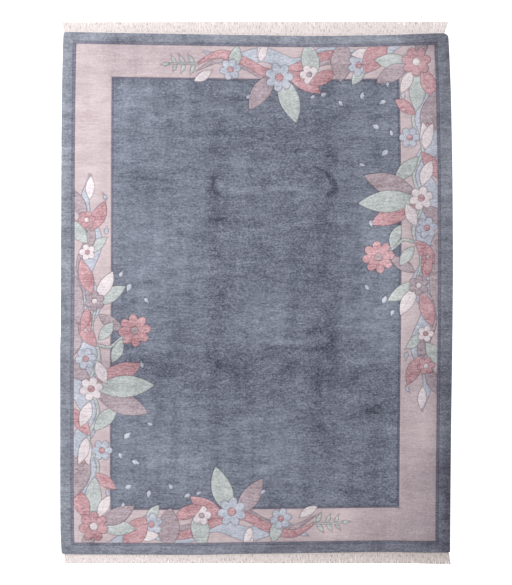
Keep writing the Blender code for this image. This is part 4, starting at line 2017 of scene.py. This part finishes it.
WOOL_FINISHES = {
    FIELD: WoolFinish(
        "wool_field", screen(86, 91, 106), screen(151, 156, 172), NAVY_SHADE, clouds=0.7, bands=0.85,
        streaks=0.75, grain=1.7, smudges=0.48, worn_grain=9.5,
    ),
    BAND: WoolFinish(
        "wool_outer_band", screen(98, 102, 115), screen(170, 174, 186), NAVY_SHADE, streaks=0.7, grain=1.4,
        line_amount=0.2, smudges=0.34, worn_grain=5.0,
    ),
    EDGE: WoolFinish(
        "wool_outer_line", screen(92, 93, 109), screen(152, 152, 167), NAVY_SHADE, line_amount=0.35
    ),
    LINE: WoolFinish(
        "wool_inner_line", screen(86, 84, 102), screen(144, 142, 158), NAVY_SHADE, line_amount=0.3
    ),
    **{
        wool: WoolFinish(f"wool_{wool.name.lower()}", screen(*dark), screen(*light), PLUM_SHADE, *dyeing)
        for wool, dark, light, dyeing in (
            (BORDER, (178, 159, 165), (228, 213, 216), CALM),
            (ROSE, (160, 114, 121), (229, 190, 196), MOTTLED),
            (MAUVE, (144, 126, 134), (206, 191, 198), MOTTLED),
            (SAGE, (160, 166, 166), (219, 224, 223), MOTTLED),
            (IVORY, (205, 193, 198), (250, 241, 244), MOTTLED),
            (SKY, (160, 166, 182), (217, 220, 231), MOTTLED),
        )
    },
}
COTTON_FINISH = CottonFinish(
    "cotton_yarn", screen(245, 232, 231), screen(255, 249, 248), soil_and_shade=screen(148, 136, 126)
)
GROUND_FINISH = GroundFinish("cotton_ground", screen(96, 102, 118), screen(132, 138, 152))


@dataclass
class Studio:
    """A white floor, a big soft light, an even surround, and a long lens straight above the rug."""

    centre: tuple[float, float] = (-0.0032, 0.0050)
    metres_per_pixel: float = 0.00639
    picture_height: int = 585
    lens: float = 110.0
    film: float = 36.0
    sight: float = 100.0
    floor_size: float = 40.0
    floor_drop: float = 0.0004
    floor_grey: float = 0.93
    floor_glow: float = 0.80
    surround: float = 0.62
    box_place: tuple[float, float, float] = (-5.0, 2.4, 5.0)
    box_size: float = 3.6
    box_power: float = 360.0

    def build(self) -> None:
        """Makes the floor, the lights and the camera."""
        self.build_floor()
        self.build_lights()
        self.build_camera()

    def build_floor(self) -> None:
        """Makes the floor, a square that glows a little."""
        half = 0.5 * self.floor_size
        corners = [(x * half, y * half, -self.floor_drop) for x, y in ((-1, -1), (1, -1), (1, 1), (-1, 1))]
        white = Finish("studio_floor")
        white.fill(white.shader, {
            "Base Color": (*[self.floor_grey] * 3, 1.0), "Emission Color": WHITE,
            "Emission Strength": self.floor_glow, "Roughness": 1.0, "Specular IOR Level": 0.0,
        })
        make_object("studio_floor", corners, [(0, 1, 2, 3)], [white.material])

    def build_lights(self) -> None:
        """Makes the surround and the soft box, which faces the middle of the rug."""
        world = bpy.data.worlds.new("studio")
        world.use_nodes = True
        background = world.node_tree.nodes["Background"]
        Nodes(world.node_tree).fill(background, {"Color": WHITE, "Strength": self.surround})
        bpy.context.scene.world = world
        light = bpy.data.lights.new("soft_box", "AREA")
        light.shape = "SQUARE"
        light.size = self.box_size
        light.energy = self.box_power
        box = bpy.data.objects.new("soft_box", light)
        box.location = self.box_place
        box.rotation_euler = (-Vector(self.box_place)).to_track_quat("-Z", "Y").to_euler()
        bpy.context.scene.collection.objects.link(box)

    def build_camera(self) -> None:
        """Makes the camera, as far above the pile as brings a pixel to its size on the rug."""
        camera = bpy.data.cameras.new("camera")
        camera.sensor_fit = "VERTICAL"
        camera.sensor_height = self.film
        camera.lens = self.lens
        camera.clip_end = self.sight
        seen = bpy.data.objects.new("camera", camera)
        distance = self.metres_per_pixel * self.picture_height * self.lens / self.film
        seen.location = (*self.centre, distance + PileShape.top)
        bpy.context.scene.collection.objects.link(seen)
        bpy.context.scene.camera = seen
        bpy.context.scene.view_settings.view_transform = "Standard"


def main() -> None:
    """Builds the rug on its frame, dresses it, and sets it in the studio."""
    logging.basicConfig(level=logging.INFO, format="%(message)s")
    cloth = Cloth()
    drawing = Drawing(cloth)
    Studio().build()
    effects = Effects()

    wools = {wool: finish.material(effects) for wool, finish in WOOL_FINISHES.items()}
    pile = Pile(drawing, PileShape(cloth), PileGrid(drawing)).build(wools)
    backs = [WOOL_FINISHES[wool].material(effects, raised=False) for wool in WOOLS]
    ground = GroundWeave(drawing).build([*backs, GROUND_FINISH.material(effects)])

    cotton = COTTON_FINISH.material(effects)
    fringes = [
        Fringe(
            "fringe_yarns_top", "fringe_top", cloth, 1, 11, -1.2275, 1.1985, -0.0055, 0.0265,
            rows_of(PlaceRow, (-1.234, 1.726), (-0.36, 1.728), (0.4, 1.7285), (1.226, 1.7297)),
            (0.10, 0.02), wider=0.008, loosened=0.010,
        ),
        Fringe(
            "fringe_yarns_bottom", "fringe_bottom", cloth, -1, 23, -1.2320, 1.2330, 0.0055, 0.0120,
            rows_of(
                PlaceRow, (-1.228, -1.7227), (-0.36, -1.724), (0.085, -1.726), (0.85, -1.724), (1.25, -1.7297)
            ),
            (0.0, 0.38),
        ),
    ]
    for piece in (ground, *pile):
        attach(piece, "root")
        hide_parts("rug_body")
    for fringe in fringes:
        piece = fringe.build(cotton)
        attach(piece, "root")
        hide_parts(fringe.node)

    bpy.context.view_layer.update()


if __name__ == "__main__":
    main()
